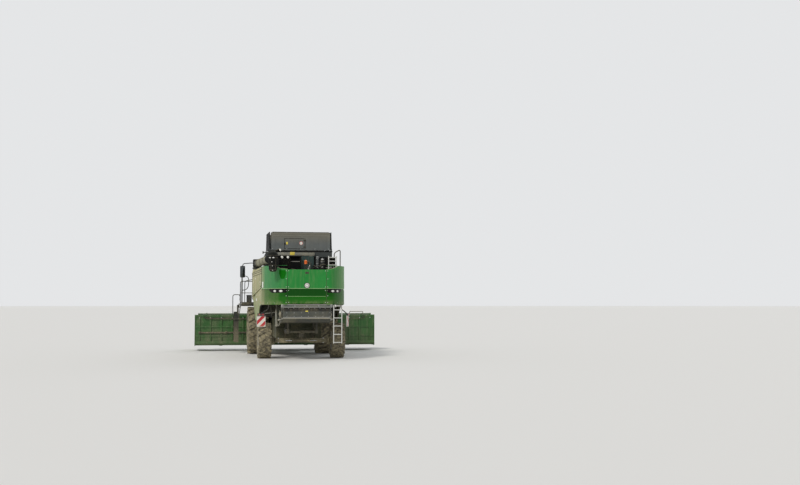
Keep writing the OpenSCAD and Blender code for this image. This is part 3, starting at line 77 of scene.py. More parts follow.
class HarvesterColours(bpy.types.PropertyGroup):
    upper_green: tint("Upper green", "Paint of the upper band of the hood", srgb(40, 128, 56))
    lower_green: tint("Lower green", "Paint of the lower band of the hood", srgb(4, 88, 0))
    side_green: tint("Side green", "Paint of the long side panels under their dust", srgb(96, 140, 76))
    header_green: tint("Header green", "Paint of the header, reel arms and feeder", srgb(40, 92, 34))
    dust: tint("Dust", "Straw dust that lies on the machine", srgb(196, 184, 148))
    tank_grey: tint("Tank grey", "Moulded lids and walls of the grain tank", srgb(92, 97, 97))
    frame_black: tint("Frame black", "Paint of the chassis, axles and deck", srgb(40, 43, 42))
    rim: tint("Rim paint", "Paint of the wheel rims", srgb(206, 200, 176))
    light_metal: tint("Light metal", "Bars and ladders at the tail", srgb(176, 178, 172))
    board_red: tint("Board red", "Stripes of the warning boards", srgb(186, 22, 40))


class HarvesterSizes(bpy.types.PropertyGroup):
    bolt: length("Bolt head", "Radius of a panel bolt's head", 0.009)
    nut: length("Wheel nut", "Radius of a wheel nut", 0.019)
    seal: length("Door seal", "Width of the rubber in the hood's door gap", 0.011)
    pipe: length("Steel pipe", "Radius of the hydraulic pipes", 0.011)


def at(x, y, z):
    """Point in millimetres from the front axle, as metres in the frame."""
    return Vector((x / 1000, y / 1000 + AXLE_Y, z / 1000))


# Shapes

def work():
    """The bmesh on the bench: every shape goes into it until made() turns it into a piece."""
    if not BENCH:
        BENCH.append(bmesh.new())
    return BENCH[0]


def rounded(bm, edges, soft):
    bmesh.ops.bevel(bm, geom=list(edges), offset=soft / 1000, segments=2, affect="EDGES", profile=0.5, material=-1,
        clamp_overlap=True)


def box(p, q, soft=0, bm=None):
    """Block between two opposite corners."""
    bm = bm or work()
    a, b = at(*map(min, p, q)), at(*map(max, p, q))
    verts = bmesh.ops.create_cube(bm, size=1, matrix=Matrix.Translation((a + b) / 2) @ Matrix.Diagonal((*(b - a),
        1)))["verts"]
    if soft:
        rounded(bm, {e for v in verts for e in v.link_edges}, soft)
    return verts


def bar(a, b, r, n=12, end=None, soft=0, bm=None):
    """Round bar or cone from one point to another."""
    bm = bm or work()
    a, b = at(*a), at(*b)
    turn = (b - a).to_track_quat("Z", "Y").to_matrix().to_4x4()
    verts = bmesh.ops.create_cone(bm, cap_ends=True, segments=n, radius1=r / 1000,
        radius2=(r if end is None else end) / 1000,
                                  depth=(b - a).length, matrix=Matrix.Translation((a + b) / 2) @ turn)["verts"]
    if soft:
        rounded(bm, {e for v in verts for e in v.link_edges if len(e.link_faces) == 2 and any(len(f.verts) > 4
            for f in e.link_faces)}, soft)


def ball(centre, size, n=16, bm=None):
    m = Matrix.Translation(at(*centre)) @ Matrix.Diagonal((*(s / 1000 for s in size), 1))
    bmesh.ops.create_uvsphere(bm or work(), u_segments=n, v_segments=max(6, n // 2), radius=1, matrix=m)


def ring(centre, axis, r, thick, n=32, m=8, bm=None):
    """Round bar bent to a ring about an axis through its centre."""
    bm = bm or work()
    c, d = at(*centre), Vector(axis).normalized()
    side = d.orthogonal().normalized()
    turn = Matrix((side, d, side.cross(d))).transposed().to_4x4()
    start = Matrix.Translation(c + side * r / 1000) @ turn
    loop = bmesh.ops.create_circle(bm, cap_ends=False, segments=m, radius=thick / 1000, matrix=start)["verts"]
    edges = list({e for v in loop for e in v.link_edges})
    bmesh.ops.spin(bm, geom=loop + edges, cent=c, axis=d, angle=math.tau, steps=n, use_merge=True)
    bmesh.ops.remove_doubles(bm, verts=bm.verts[:], dist=1e-6)


def smooth_path(points, steps=6):
    """Points of a soft curve that runs through all the given ones."""
    p = [points[0] * 2 - points[1], *points, points[-1] * 2 - points[-2]]
    out = []
    for i in range(1, len(p) - 2):
        for k in range(steps):
            t = k / steps
            out.append(0.5 * (2 * p[i] + (p[i + 1] - p[i - 1]) * t + (2 * p[i - 1] - 5 * p[i] + 4 * p[i + 1] - p[i + 2]) * t * t
                              + (3 * p[i] - p[i - 1] - 3 * p[i + 1] + p[i + 2]) * t ** 3))
    return out + [points[-1]]


def sweep(points, r, n=8, flat=None, up=None, curved=False, bm=None):
    """Section drawn along a path: round, or a flat strip of two half sizes when flat is given."""
    bm = bm or work()
    pts = [at(*p) for p in points]
    if curved:
        pts = smooth_path(pts)
    size = (flat[0] * 2e-3, flat[1] * 2e-3) if flat else (r / 1000, r / 1000)
    frames, top = [], Vector(up) if up else None
    for i, p in enumerate(pts):
        t = ((pts[min(i + 1, len(pts) - 1)] - p).normalized() + (p - pts[max(i - 1, 0)]).normalized()).normalized()
        if top is None:
            top = t.orthogonal()
        side = top.cross(t).normalized()
        lift = t.cross(side).normalized()
        if not up:
            top = lift
        frames.append(Matrix.Translation(p) @ Matrix((side, lift, t)).transposed().to_4x4())
    shape = Matrix.Diagonal((*size, 1, 1)) @ Matrix.Rotation(math.pi / 4 if flat else 0, 4, "Z")
    verts = bmesh.ops.create_circle(bm, cap_ends=True, segments=4 if flat else n, radius=0.70711 if flat else 1,
        matrix=frames[0] @ shape)["verts"]
    edges = list({e for v in verts for e in v.link_edges})
    for before, after in zip(frames, frames[1:]):
        grown = bmesh.ops.extrude_edge_only(bm, edges=edges)["geom"]
        verts = [g for g in grown if isinstance(g, bmesh.types.BMVert)]
        new = set(verts)
        edges = list({e for v in verts for e in v.link_edges if e.other_vert(v) in new})
        bmesh.ops.transform(bm, matrix=after @ before.inverted(), verts=verts)
    bmesh.ops.contextual_create(bm, geom=edges)


def strip(points, thick, wide, up, bm=None):
    sweep(points, 0, flat=(thick, wide), up=up, bm=bm)


def hose(points, r, n=8):
    sweep(points, r, n, curved=True)


def bolt(p, axis, r, high=0.7, bm=None):
    """Hexagon head on its washer."""
    d = Vector(axis).normalized() * r
    a = Vector(p)
    bar(a - d * 0.3, a + d * 0.22, r * 1.45, 14, bm=bm)
    bar(a, a + d * (high + 0.2), r, 6, r * 0.94, bm=bm)


def bolts(spots, axis, r, bm=None):
    for p in spots:
        bolt(p, axis, r, bm=bm)


def oval_lamp(rims, where, lens, rim, n, narrow, depth):
    """Domed oval lens on the bench and its bezel in a bmesh of its own."""
    dome = where @ Matrix.Diagonal((*lens, 1))
    bmesh.ops.create_uvsphere(work(), u_segments=n, v_segments=n // 2, radius=1, matrix=dome)
    lying = where @ Matrix.Rotation(math.pi / 2, 4, "X") @ Matrix.Diagonal((*rim, 1, 1))
    bmesh.ops.create_cone(rims, cap_ends=True, segments=n + 8, radius1=1, radius2=narrow, depth=depth, matrix=lying)


def circle(count, start=0.0):
    """Cosine and sine of evenly spaced angles."""
    return [(math.cos(t), math.sin(t)) for t in (math.tau * k / count + start for k in range(count))]


def loft(sections):
    """Closed skin through sections with the same number of points."""
    bm = work()
    face = bm.faces.new([bm.verts.new(at(*p)) for p in sections[0]])
    for before, after in zip(sections, sections[1:]):
        grown = bmesh.ops.extrude_face_region(bm, geom=[face])["geom"]
        face = next(g for g in grown if isinstance(g, bmesh.types.BMFace))
        spots = [at(*p) for p in before]
        for v in face.verts:
            k = min(range(len(spots)), key=lambda i: (spots[i] - v.co).length)
            v.co = at(*after[k])


def cut(bm, point, outside):
    """Takes off what lies outside a plane and closes the hole."""
    bmesh.ops.bisect_plane(bm, geom=bm.verts[:] + bm.edges[:] + bm.faces[:], plane_co=at(*point), plane_no=outside,
        clear_outer=True)
    bmesh.ops.holes_fill(bm, edges=[e for e in bm.edges if e.is_boundary])


def add_part(part):
    """Moves a part that was shaped by itself onto the bench."""
    mesh = bpy.data.meshes.new("part")
    part.to_mesh(mesh)
    part.free()
    work().from_mesh(mesh)
    bpy.data.meshes.remove(mesh)


def made(name, finish, body="root", bevel=0, angle=35, bm=None):
    """Turns a finished bmesh into a piece that rides on a body."""
    bm = bm or BENCH.pop()
    bmesh.ops.recalc_face_normals(bm, faces=bm.faces)
    mesh = bpy.data.meshes.new(name)
    bm.to_mesh(mesh)
    bm.free()
    mesh.polygons.foreach_set("use_smooth", [True] * len(mesh.polygons))
    mesh.set_sharp_from_angle(angle=math.radians(angle))
    piece = bpy.data.objects.new(name, mesh)
    bpy.context.scene.collection.objects.link(piece)
    mesh.materials.append(bpy.data.materials[finish])
    if bevel:
        m = piece.modifiers.new("Soft edges", "BEVEL")
        m.width, m.segments, m.limit_method, m.angle_limit = bevel / 1000, 2, "ANGLE", math.radians(40)
        m.harden_normals = True
    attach(piece, body)
    return piece


def tail_plan(inset=0, side=1, x_from=0.0, x_to=9999.0):
    """Plan of the hood from the middle of its rear face round one corner, inset from the outside."""
    flat, depth, turn = 680, 1500, math.radians(50)
    a, s, c = HALF - flat, math.sin(turn), math.cos(turn)
    det = s * c - (1 - s) * (1 - c)
    r1, r2 = (a * c - depth * (1 - s)) / det, (depth * s - a * (1 - c)) / det
    pts = [(0, TAIL + inset), (flat / 2, TAIL + inset)]
    for i in range(13):
        t = -math.pi / 2 + turn * i / 12
        pts.append((flat + (r1 - inset) * math.cos(t), TAIL + r1 + (r1 - inset) * math.sin(t)))
    for i in range(1, 17):
        t = -math.pi / 2 + turn + (math.pi / 2 - turn) * i / 16
        pts.append((HALF - r2 + (r2 - inset) * math.cos(t), TAIL + depth + (r2 - inset) * math.sin(t)))
    out = []
    for p, q in zip(pts, pts[1:]):
        if q[0] < x_from or p[0] > x_to:
            continue
        for e in (p, q):
            x = min(max(e[0], x_from), x_to)
            t = 0 if q[0] == p[0] else (x - p[0]) / (q[0] - p[0])
            e = (x, p[1] + (q[1] - p[1]) * t)
            if not out or abs(out[-1][0] - e[0]) + abs(out[-1][1] - e[1]) > 0.5:
                out.append(e)
    return [(side * x, y) for x, y in out]


def around_tail(inset, z, side=1, x_from=0.0, x_to=9999.0):
    return [(x, y, z) for x, y in tail_plan(inset, side, x_from, x_to)]


def crease(y):
    """Height of the fold that runs along each side."""
    return 2560 - 0.088 * (y + 4500)


def forward(y):
    """Share of the way along the left side, from the panel's rear edge to its front edge."""
    return min(max((y + 4488) / 3226, 0), 1)


def wall(s, y, z):
    """X of a side's outer face: the left one widens forwards until it meets the turret's fairing."""
    if s > 0:
        return HALF
    if y > -1262 and z > 2012:
        return -1622
    share = 1 - 0.8 * max(0, (z - 3120) / 170) if z >= crease(y) - 5 else 0.62 - 0.42 * min(1, (crease(y) - z) / 900)
    return -(HALF + 2 + 142 * forward(y) * share)


# Finishes

class Finish:
    """Material under construction: each call adds a node and returns its socket."""

    def __init__(self, name):
        self.mat = bpy.data.materials.new(name)
        self.mat.use_nodes = True
        self.tree = self.mat.node_tree
        self.tree.nodes.clear()
        out = self.node("OutputMaterial")
        self.skin = self.node("BsdfPrincipled")
        self.tree.links.new(self.skin.outputs[0], out.inputs[0])
        self.place = self.node("TexCoord").outputs["Object"]
        self.x, self.y, self.z = self.parts(self.place)
        self.nx, self.ny, self.nz = self.parts(self.node("NewGeometry").outputs["Normal"])

    def put(self, socket, value):
        if isinstance(value, bpy.types.NodeSocket):
            self.tree.links.new(value, socket)
        elif isinstance(value, tuple) and len(value) == 3 and socket.type == "RGBA":
            socket.default_value = (*value, 1)
        else:
            socket.default_value = value

    def set(self, socket, value):
        self.put(self.skin.inputs[socket], value)

    def node(self, kind):
        return self.tree.nodes.new("ShaderNode" + kind)

    def parts(self, vector):
        n = self.node("SeparateXYZ")
        self.put(n.inputs[0], vector)
        return n.outputs[0], n.outputs[1], n.outputs[2]

    def sum(self, op, a, b=0.0, clamp=False):
        n = self.node("Math")
        n.operation, n.use_clamp = op, clamp
        self.put(n.inputs[0], a)
        self.put(n.inputs[1], b)
        return n.outputs[0]

    def times(self, a, b):
        return self.sum("MULTIPLY", a, b)

    def plus(self, a, b, clamp=False):
        return self.sum("ADD", a, b, clamp)

    def span(self, value, lo, hi, to_lo=0.0, to_hi=1.0):
        n = self.node("MapRange")
        n.interpolation_type, n.clamp = "SMOOTHSTEP", True
        for i, v in enumerate((value, lo, hi, to_lo, to_hi)):
            self.put(n.inputs[i], v)
        return n.outputs[0]

    def noise(self, scale, detail=3.0, rough=0.55, stretch=None):
        where = self.place
        if stretch:
            m = self.node("Mapping")
            self.put(m.inputs[0], where)
            m.inputs["Scale"].default_value = stretch
            where = m.outputs[0]
        n = self.node("TexNoise")
        self.put(n.inputs["Vector"], where)
        for k, v in (("Scale", scale), ("Detail", detail), ("Roughness", rough)):
            n.inputs[k].default_value = v
        return n.outputs[0]

    def mix(self, share, a, b):
        n = self.node("Mix")
        n.data_type = "RGBA"
        self.put(n.inputs[0], share)
        self.put(n.inputs[6], a)
        self.put(n.inputs[7], b)
        return n.outputs[2]

    def blend(self, share, a, b):
        n = self.node("Mix")
        n.data_type = "FLOAT"
        self.put(n.inputs[0], share)
        self.put(n.inputs[2], a)
        self.put(n.inputs[3], b)
        return n.outputs[0]

    def inside(self, lo, hi):
        """1 in the box between two corners in millimetres from the front axle, 0 outside it."""
        a, b = at(*lo), at(*hi)
        share = None
        for axis, low, high in zip((self.x, self.y, self.z), a, b):
            part = self.times(self.sum("GREATER_THAN", axis, low), self.sum("LESS_THAN", axis, high))
            share = part if share is None else self.times(share, part)
        return share

    def bump(self, height, depth=0.002, strength=0.5):
        n = self.node("Bump")
        n.inputs["Strength"].default_value = strength
        n.inputs["Distance"].default_value = depth
        self.put(n.inputs["Height"], height)
        self.put(self.skin.inputs["Normal"], n.outputs[0])

    def soil(self, amount=0.4, top=0.5, low=0.3, ground=1.2, streaks=0.25):
        """Share of dust: patches, flat tops, low parts and runs down the walls."""
        patch = self.span(self.noise(1.7, 6, 0.62), 0.42, 0.72)
        fine = self.span(self.noise(23, 5, 0.7), 0.35, 0.75)
        runs = self.span(self.noise(4.5, 4, 0.6, (2.2, 2.2, 0.22)), 0.45, 0.75)
        up = self.times(self.span(self.nz, 0.35, 0.95), top)
        down = self.times(self.span(self.z, ground + 0.7, ground - 0.5), low)
        grit = self.plus(self.times(fine, 0.55), 0.45)
        share = self.plus(self.plus(self.times(patch, amount), self.times(runs, amount * streaks * 2)),
            self.plus(up, down))
        return self.sum("MULTIPLY", share, grit, True)


def plain(name, base, rough=0.5, metal=0.0, soil=(0.35, 0.5, 0.3), dust=None, grain=90.0, depth=0.0006, spread=0.12,
        coat=0.0, extra=None, shine=0.4):
    """Painted, moulded or bare surface with a grain, uneven colour and straw dust."""
    f = Finish(name)
    uneven = f.noise(2.6, 4)
    fine = f.noise(grain, 3)
    dark, light = tuple(c * (1 - spread) for c in base), tuple(min(1, c * (1 + spread)) for c in base)
    colour = f.mix(f.span(uneven, 0.3, 0.7), dark, light)
    if extra:
        colour = extra(f, colour)
    share = f.soil(*soil)
    f.set("Base Color", f.mix(share, colour, dust or tuple(bpy.context.scene.harvester_colours.dust)))
    f.set("Roughness", f.plus(f.blend(share, rough, 0.88), f.times(f.plus(fine, -0.5), 0.12), True))
    f.set("Metallic", f.blend(share, metal, 0.0) if metal else 0.0)
    f.set("Specular IOR Level", shine)
    if coat:
        f.set("Coat Weight", coat)
        f.set("Coat Roughness", 0.12)
    f.bump(f.plus(fine, f.times(uneven, 0.6)), depth, 0.45)


def zone(box_lo, box_hi, colour):
    return lambda f, c: f.mix(f.inside(box_lo, box_hi), c, colour)


def zones(*parts):
    def all_of(f, c):
        for p in parts:
            c = p(f, c)
        return c
    return all_of


def hood_paint(name, upper, lower, dust):
    """Two greens split by the groove, with painted shade on the band under the groove, painted light below the crease,
    a painted sky reflection in bluish green round the left corner, pale dust round the left corner and soil along the
    lower edge.
    """
    f = Finish(name)
    wave = f.noise(1.1, 5)
    fine = f.noise(120, 2)
    low = f.span(f.z, 2.50, 2.47)
    # painted shade: in the middle, the lower green between z 2.30 m and the groove is darkened as shade on its
    # downward-facing slope
    painted_shade = f.times(f.span(f.z, 2.20, 2.30), f.span(f.sum("ABSOLUTE", f.x), 1.0, 0.6))
    low_paint = f.mix(painted_shade, tuple(lower), tuple(c * 0.62 for c in lower))
    # painted light: below the crease at z 2.21 m the lower green is mixed 12 % towards a lighter highlight green
    low_paint = f.mix(f.span(f.z, 2.24, 2.21, 0.0, 0.12), low_paint, srgb(70, 150, 44))
    colour = f.mix(low, f.mix(f.span(wave, 0.3, 0.75), tuple(upper), tuple(min(1, c * 1.18) for c in upper)),
        low_paint)
    # painted reflection: round the left corner the greens shift towards a paler bluish green for the sky's reflection
    left = f.times(f.span(f.x, -0.62, -1.25), f.span(f.z, 2.0, 2.5, 0.25, 1.0))
    right = f.span(f.x, 0.72, 1.4, 0.0, 0.85)
    colour = f.mix(f.times(left, 0.6), colour, f.mix(low, srgb(76, 138, 92), srgb(50, 104, 34)))
    colour = f.mix(right, colour, f.mix(low, srgb(90, 140, 76), srgb(40, 92, 16)))
    turned = f.sum("MULTIPLY", f.nx, -1.0)
    side = f.times(f.plus(f.span(turned, 0.95, 1.0), f.times(f.times(low, 0.3), f.span(turned, 0.6, 0.95)), True),
        f.span(f.noise(2.2, 5, 0.6), 0.25, 0.6, 0.3, 0.62))
    runs = f.times(f.span(f.noise(3.4, 6, 0.65, (3.0, 3.0, 0.35)), 0.46, 0.78), 0.2)
    foot = f.times(f.span(f.z, 2.16, 1.96), f.span(f.noise(6, 5, 0.6), 0.3, 0.65))
    flat = f.times(f.span(f.nz, 0.4, 0.95), 0.6)
    grit = f.plus(f.times(f.span(f.noise(28, 5, 0.7), 0.3, 0.75), 0.5), 0.5)
    runs = f.times(runs, f.span(low, 0.0, 1.0, 1.0, 0.12))
    share = f.sum("MULTIPLY", f.plus(f.plus(side, runs), f.plus(f.times(foot, 0.3), flat)), grit, True)
    f.set("Base Color", f.mix(share, colour, tuple(dust)))
    f.set("Roughness", f.plus(f.blend(share, 0.42, 0.88), f.times(fine, 0.05), True))
    f.set("Specular IOR Level", 0.16)
    f.set("Coat Weight", 0.03)
    f.set("Coat Roughness", 0.2)
    f.bump(f.plus(f.times(wave, 0.8), f.times(fine, 0.05)), 0.004, 0.25)


def side_paint(name, green, dust):
    """Long side panels: green that shows through a thick coat of dust, brighter where it was wiped."""
    f = Finish(name)
    wide = f.noise(0.9, 6, 0.6)
    runs = f.noise(5.0, 6, 0.65, (1.0, 2.4, 0.25))
    fine = f.noise(60, 4, 0.7)
    share = f.plus(f.span(wide, 0.25, 0.62, 0.3, 0.8), f.times(f.plus(runs, -0.5), 0.55), True)
    share = f.sum("MULTIPLY", share, f.plus(f.times(fine, 0.35), 0.8), True)
    share = f.times(share, f.span(f.z, 2.4, 1.6, 1.0, 0.58))
    colour = f.mix(f.span(f.noise(2.4, 3), 0.3, 0.7), tuple(c * 0.85 for c in green),
        tuple(min(1, c * 1.1) for c in green))
    f.set("Base Color", f.mix(share, colour, tuple(dust)))
    f.set("Roughness", f.blend(share, 0.42, 0.86))
    f.bump(f.plus(fine, f.times(runs, 0.5)), 0.0012, 0.4)


def tyre_rubber(name, dust):
    f = Finish(name)
    fine = f.noise(45, 5, 0.7)
    clods = f.span(f.noise(9, 6, 0.65), 0.36, 0.66)
    share = f.plus(f.times(clods, 0.62), f.times(fine, 0.3), True)
    colour = f.mix(f.noise(5, 3), srgb(46, 44, 41), srgb(66, 62, 57))
    f.set("Base Color", f.mix(share, colour, tuple(c * 0.82 for c in dust)))
    f.set("Roughness", f.blend(share, 0.72, 0.93))
    f.bump(f.plus(f.times(clods, 0.8), fine), 0.006, 0.6)


def glass(name, colour):
    """Clear pane under a thin film of dust."""
    f = Finish(name)
    film = f.times(f.span(f.noise(3.5, 6, 0.65), 0.35, 0.8), 0.07)
    f.set("Base Color", f.mix(film, colour, srgb(206, 200, 180)))
    f.set("Roughness", f.plus(f.times(film, 0.9), 0.01, True))
    f.set("Transmission Weight", f.sum("SUBTRACT", 0.97, film, True))
    f.set("IOR", 1.1)
    f.bump(f.noise(2.0, 2), 0.0004, 0.1)


def lens(name, colour):
    """Moulded lamp cover with fine ribs."""
    f = Finish(name)
    ribs = f.sum("SINE", f.times(f.x, 520))
    f.set("Base Color", f.mix(f.times(f.span(f.noise(14, 5, 0.6), 0.45, 0.8), 0.35), colour, srgb(210, 200, 170)))
    f.set("Roughness", f.span(f.noise(30, 3), 0.2, 0.8, 0.12, 0.3))
    f.set("Coat Weight", 0.8)
    f.set("Coat Roughness", 0.05)
    f.bump(ribs, 0.0008, 0.5)


def striped(name, red, white, black):
    """Warning boards: slanting red and white stripes on the plate, black arm and lamp holder."""
    f = Finish(name)
    across = f.blend(f.sum("GREATER_THAN", f.x, 0.0), f.times(f.x, -1.0), f.y)
    band = f.sum("GREATER_THAN", f.sum("FRACT", f.plus(f.times(f.plus(across, f.z), 1 / 0.28), 0.1)), 0.5)
    plate = f.sum("LESS_THAN", f.z, 1.5495)
    wear = f.span(f.noise(16, 6, 0.7), 0.5, 0.78, 0.0, 0.5)
    colour = f.mix(plate, black, f.mix(band, white, red))
    f.set("Base Color", f.mix(f.plus(wear, f.span(f.z, 1.3, 1.15, 0.0, 0.3), True), colour, srgb(190, 176, 140)))
    f.set("Roughness", f.span(f.noise(24, 4), 0.3, 0.7, 0.32, 0.55))
    f.bump(f.noise(80, 2), 0.0004, 0.4)


def cloth(name, colour):
    f = Finish(name)
    weave = f.times(f.sum("SINE", f.times(f.x, 2400)), f.sum("SINE", f.times(f.plus(f.z, f.y), 2400)))
    f.set("Base Color", f.mix(f.span(f.noise(30, 4), 0.3, 0.7), tuple(c * 0.7 for c in colour),
        tuple(min(1, c * 1.3) for c in colour)))
    f.set("Roughness", 0.9)
    f.set("Sheen Weight", 0.3)
    f.bump(weave, 0.0006, 0.5)


def tread_plate(name, base):
    """Black sheet with raised lozenges for grip."""
    f = Finish(name)
    a, b = f.times(f.plus(f.x, f.y), 70), f.times(f.sum("SUBTRACT", f.x, f.y), 70)
    bars = f.sum("MAXIMUM", *[
        f.times(f.span(f.sum("SINE", one), 0.55, 0.9), f.span(f.sum("SINE", f.times(other, 0.5)), 0.1, 0.4))
        for one, other in ((a, b), (b, a))])
    share = f.soil(0.4, 0.55, 0.2)
    colour = f.mix(bars, tuple(base), tuple(min(1, c * 2.4) for c in base))
    f.set("Base Color", f.mix(share, colour, tuple(bpy.context.scene.harvester_colours.dust)))
    f.set("Roughness", f.blend(share, 0.48, 0.88))
    f.bump(f.times(bars, f.span(f.nz, 0.5, 0.9)), 0.004, 0.7)


def mesh_screen(name, base):
    """Perforated sheet over a cooler."""
    f = Finish(name)
    holes = f.times(f.span(f.sum("SINE", f.times(f.z, 420)), -0.2, 0.4),
        f.span(f.sum("SINE", f.times(f.plus(f.x, f.y), 420)), -0.2, 0.4))
    share = f.soil(0.04, 0.2, 0.0)
    f.set("Base Color", f.mix(share, f.mix(holes, tuple(base), tuple(c * 0.2 for c in base)), srgb(150, 138, 108)))
    f.set("Roughness", 0.8)
    f.set("Specular IOR Level", 0.1)
    f.bump(holes, 0.002, 0.6)


def make_finishes():
    c = bpy.context.scene.harvester_colours
    dust = tuple(c.dust)
    black = tuple(c.frame_black)
    grey_panel, silver, amber = srgb(58, 76, 74), srgb(88, 92, 92), srgb(232, 112, 52)
    hood_paint("hood_paint", c.upper_green, c.lower_green, dust)
    side_paint("side_paint", tuple(c.side_green), dust)
    tyre_rubber("tyre_rubber", dust)
    plain("frame_paint", black, 0.5, soil=(0.3, 0.45, 0.4, 0.9))
    plain("body_paint", srgb(52, 64, 46), 0.5, soil=(0.35, 0.5, 0.35, 0.9))
    plain("header_paint", tuple(c.header_green), 0.42, soil=(0.62, 0.5, 0.3, 0.6), dust=srgb(142, 136, 112), coat=0.1)
    plain("cab_paint", tuple(c.header_green), 0.36, soil=(0.4, 0.4, 0.1), coat=0.3)
    plain("roof_paint", tuple(x * 0.9 for x in c.upper_green), 0.34, soil=(0.35, 0.55, 0.0), coat=0.3)
    plain("rim_paint", tuple(c.rim), 0.45, soil=(0.55, 0.3, 0.3, 0.6))
    plain("axle_paint", tuple(x * 0.9 for x in black), 0.55, soil=(0.6, 0.6, 0.5, 0.9), grain=60, depth=0.0014)
    plain("tank_plastic", tuple(c.tank_grey), 0.6, soil=(0.15, 0.5, 0.0), dust=srgb(128, 122, 104), grain=160,
        extra=lambda f, col: f.mix(f.span(f.z, 4.1, 4.58, 0.0, 0.6), col, srgb(126, 120, 102)))
    # tank_wall: painted shade, the rear of the tank wall below z 3.70 m is near black for the shade behind the engine
    # deck
    plain("tank_wall", tuple(x * 0.6 for x in c.tank_grey), 0.7, soil=(0.06, 0.5, 0.0), shine=0.15,
        dust=srgb(128, 122, 104), grain=160, extra=lambda f, col: f.mix(
            f.times(f.span(f.z, 3.71, 3.69), f.sum("LESS_THAN", f.y, at(0, -3600, 0)[1])), col, srgb(6, 7, 8)))
    plain("shade_black", srgb(5, 7, 9), 0.7, soil=(0.02, 0.3, 0.0), shine=0.08)
    plain("tank_black", srgb(15, 16, 17), 0.62, soil=(0.1, 0.35, 0.0), dust=srgb(110, 104, 90), grain=120, shine=0.2)
    plain("rubber", srgb(26, 27, 27), 0.72, soil=(0.3, 0.3, 0.2), grain=140, depth=0.001)
    plain("spout_rubber", srgb(14, 16, 15), 0.7, soil=(0.08, 0.25, 0.0), shine=0.12, dust=srgb(120, 122, 112),
        grain=50, depth=0.002)
    # painted shade: the front end of the unloading tube, ahead of y -1850 mm, is near black for the shade by the
    # turret's elbow
    plain("tube_paint", srgb(140, 137, 114), 0.62, soil=(0.2, 0.35, 0.0), shine=0.25,
        extra=lambda f, col: f.mix(f.sum("GREATER_THAN", f.y, at(0, -1850, 0)[1]), col, srgb(10, 11, 10)))
    plain("light_metal", tuple(c.light_metal), 0.42, 0.1, soil=(0.5, 0.3, 0.35, 1.2))
    plain("bare_steel", srgb(132, 130, 122), 0.42, 0.85, soil=(0.3, 0.3, 0.2, 0.5), grain=70, spread=0.2)
    plain("worn_auger", srgb(140, 136, 120), 0.34, 0.6, soil=(0.3, 0.2, 0.1, 0.4), spread=0.25)
    plain("chrome_rod", srgb(206, 208, 210), 0.14, 1.0, soil=(0.12, 0.1, 0.1))
    plain("cast_iron", srgb(62, 60, 56), 0.6, 0.2, soil=(0.4, 0.5, 0.2, 1.5), dust=srgb(120, 104, 78), grain=30,
        depth=0.003)
    plain("cab_plastic", srgb(48, 50, 52), 0.56, soil=(0.15, 0.25, 0.0), grain=220)
    plain("plate_yellow", srgb(236, 214, 82), 0.5, soil=(0.4, 0.3, 0.1), grain=60)
    plain("plate_white", srgb(232, 232, 226), 0.45, soil=(0.25, 0.2, 0.1), grain=60)
    plain("plate_red", srgb(196, 60, 64), 0.45, soil=(0.25, 0.2, 0.1), grain=60)
    # tongue_green: darker green of the painted spout shadow on the hood
    plain("tongue_green", srgb(0, 104, 0), 0.5, soil=(0.02, 0.2, 0.0), shine=0.1)
    plain("lamp_black", srgb(5, 6, 6), 0.4, soil=(0.03, 0.1, 0.0), shine=0.15)
    plain("dull_metal", srgb(132, 132, 124), 0.5, 0.1, soil=(0.5, 0.4, 0.3, 1.2))
    # painted highlight: pale green for the light caught by the hood's rolled lip and crease
    plain("painted_highlight_line", srgb(150, 196, 132), 0.35, soil=(0.3, 0.3, 0.1), grain=60)
    plain("belt_rubber", srgb(36, 34, 32), 0.75, soil=(0.5, 0.4, 0.2))
    plain("pulley_steel", srgb(168, 164, 150), 0.38, 0.7, soil=(0.45, 0.4, 0.2))
    plain("console_grey", srgb(70, 74, 76), 0.5, soil=(0.1, 0.2, 0.0), grain=200)
    plain("deck_paint", srgb(7, 8, 9), 0.7, soil=(0.04, 0.4, 0.0), shine=0.1, extra=zones(
        zone((-75, -4765, 3130), (365, -4595, 3685), grey_panel),
        zone((-935, -3781, 3699), (305, -3665, 3805), srgb(20, 22, 22)),
        zone((440, -4790, 3131), (580, -4610, 3655), silver),
        zone((582, -4800, 3131), (780, -4600, 3552), srgb(50, 52, 52)),
        zone((-30, -5260, 3131), (90, -5140, 3377), srgb(60, 62, 60)),
        zone((-30, -5260, 3377), (90, -5140, 3500), amber)))
    plain("rail_paint", black, 0.45, soil=(0.3, 0.3, 0.0),
        extra=zone((840, -5060, 3130), (1180, -4940, 3700), srgb(216, 218, 214)))
    plain("chopper_paint", srgb(66, 69, 64), 0.55, soil=(0.42, 0.5, 0.35, 1.0), dust=srgb(150, 140, 110),
        extra=zone((-880, TAIL + 20, 1849), (1200, TAIL + 155, 1960), srgb(84, 90, 86)))
    glass("cab_glass", srgb(214, 228, 224))
    plain("mirror_glass", srgb(74, 80, 84), 0.08, 1.0, soil=(0.1, 0.0, 0.0), grain=20, depth=0.0002)
    lens("lens_white", srgb(244, 244, 236))
    lens("lens_amber", srgb(236, 132, 60))
    lens("lens_red", srgb(150, 22, 30))
    striped("board_face", tuple(c.board_red), srgb(226, 222, 212), srgb(34, 36, 35))
    cloth("seat_cloth", srgb(62, 66, 72))
    tread_plate("tread_plate", black)
    mesh_screen("cooler_mesh", srgb(12, 13, 15))


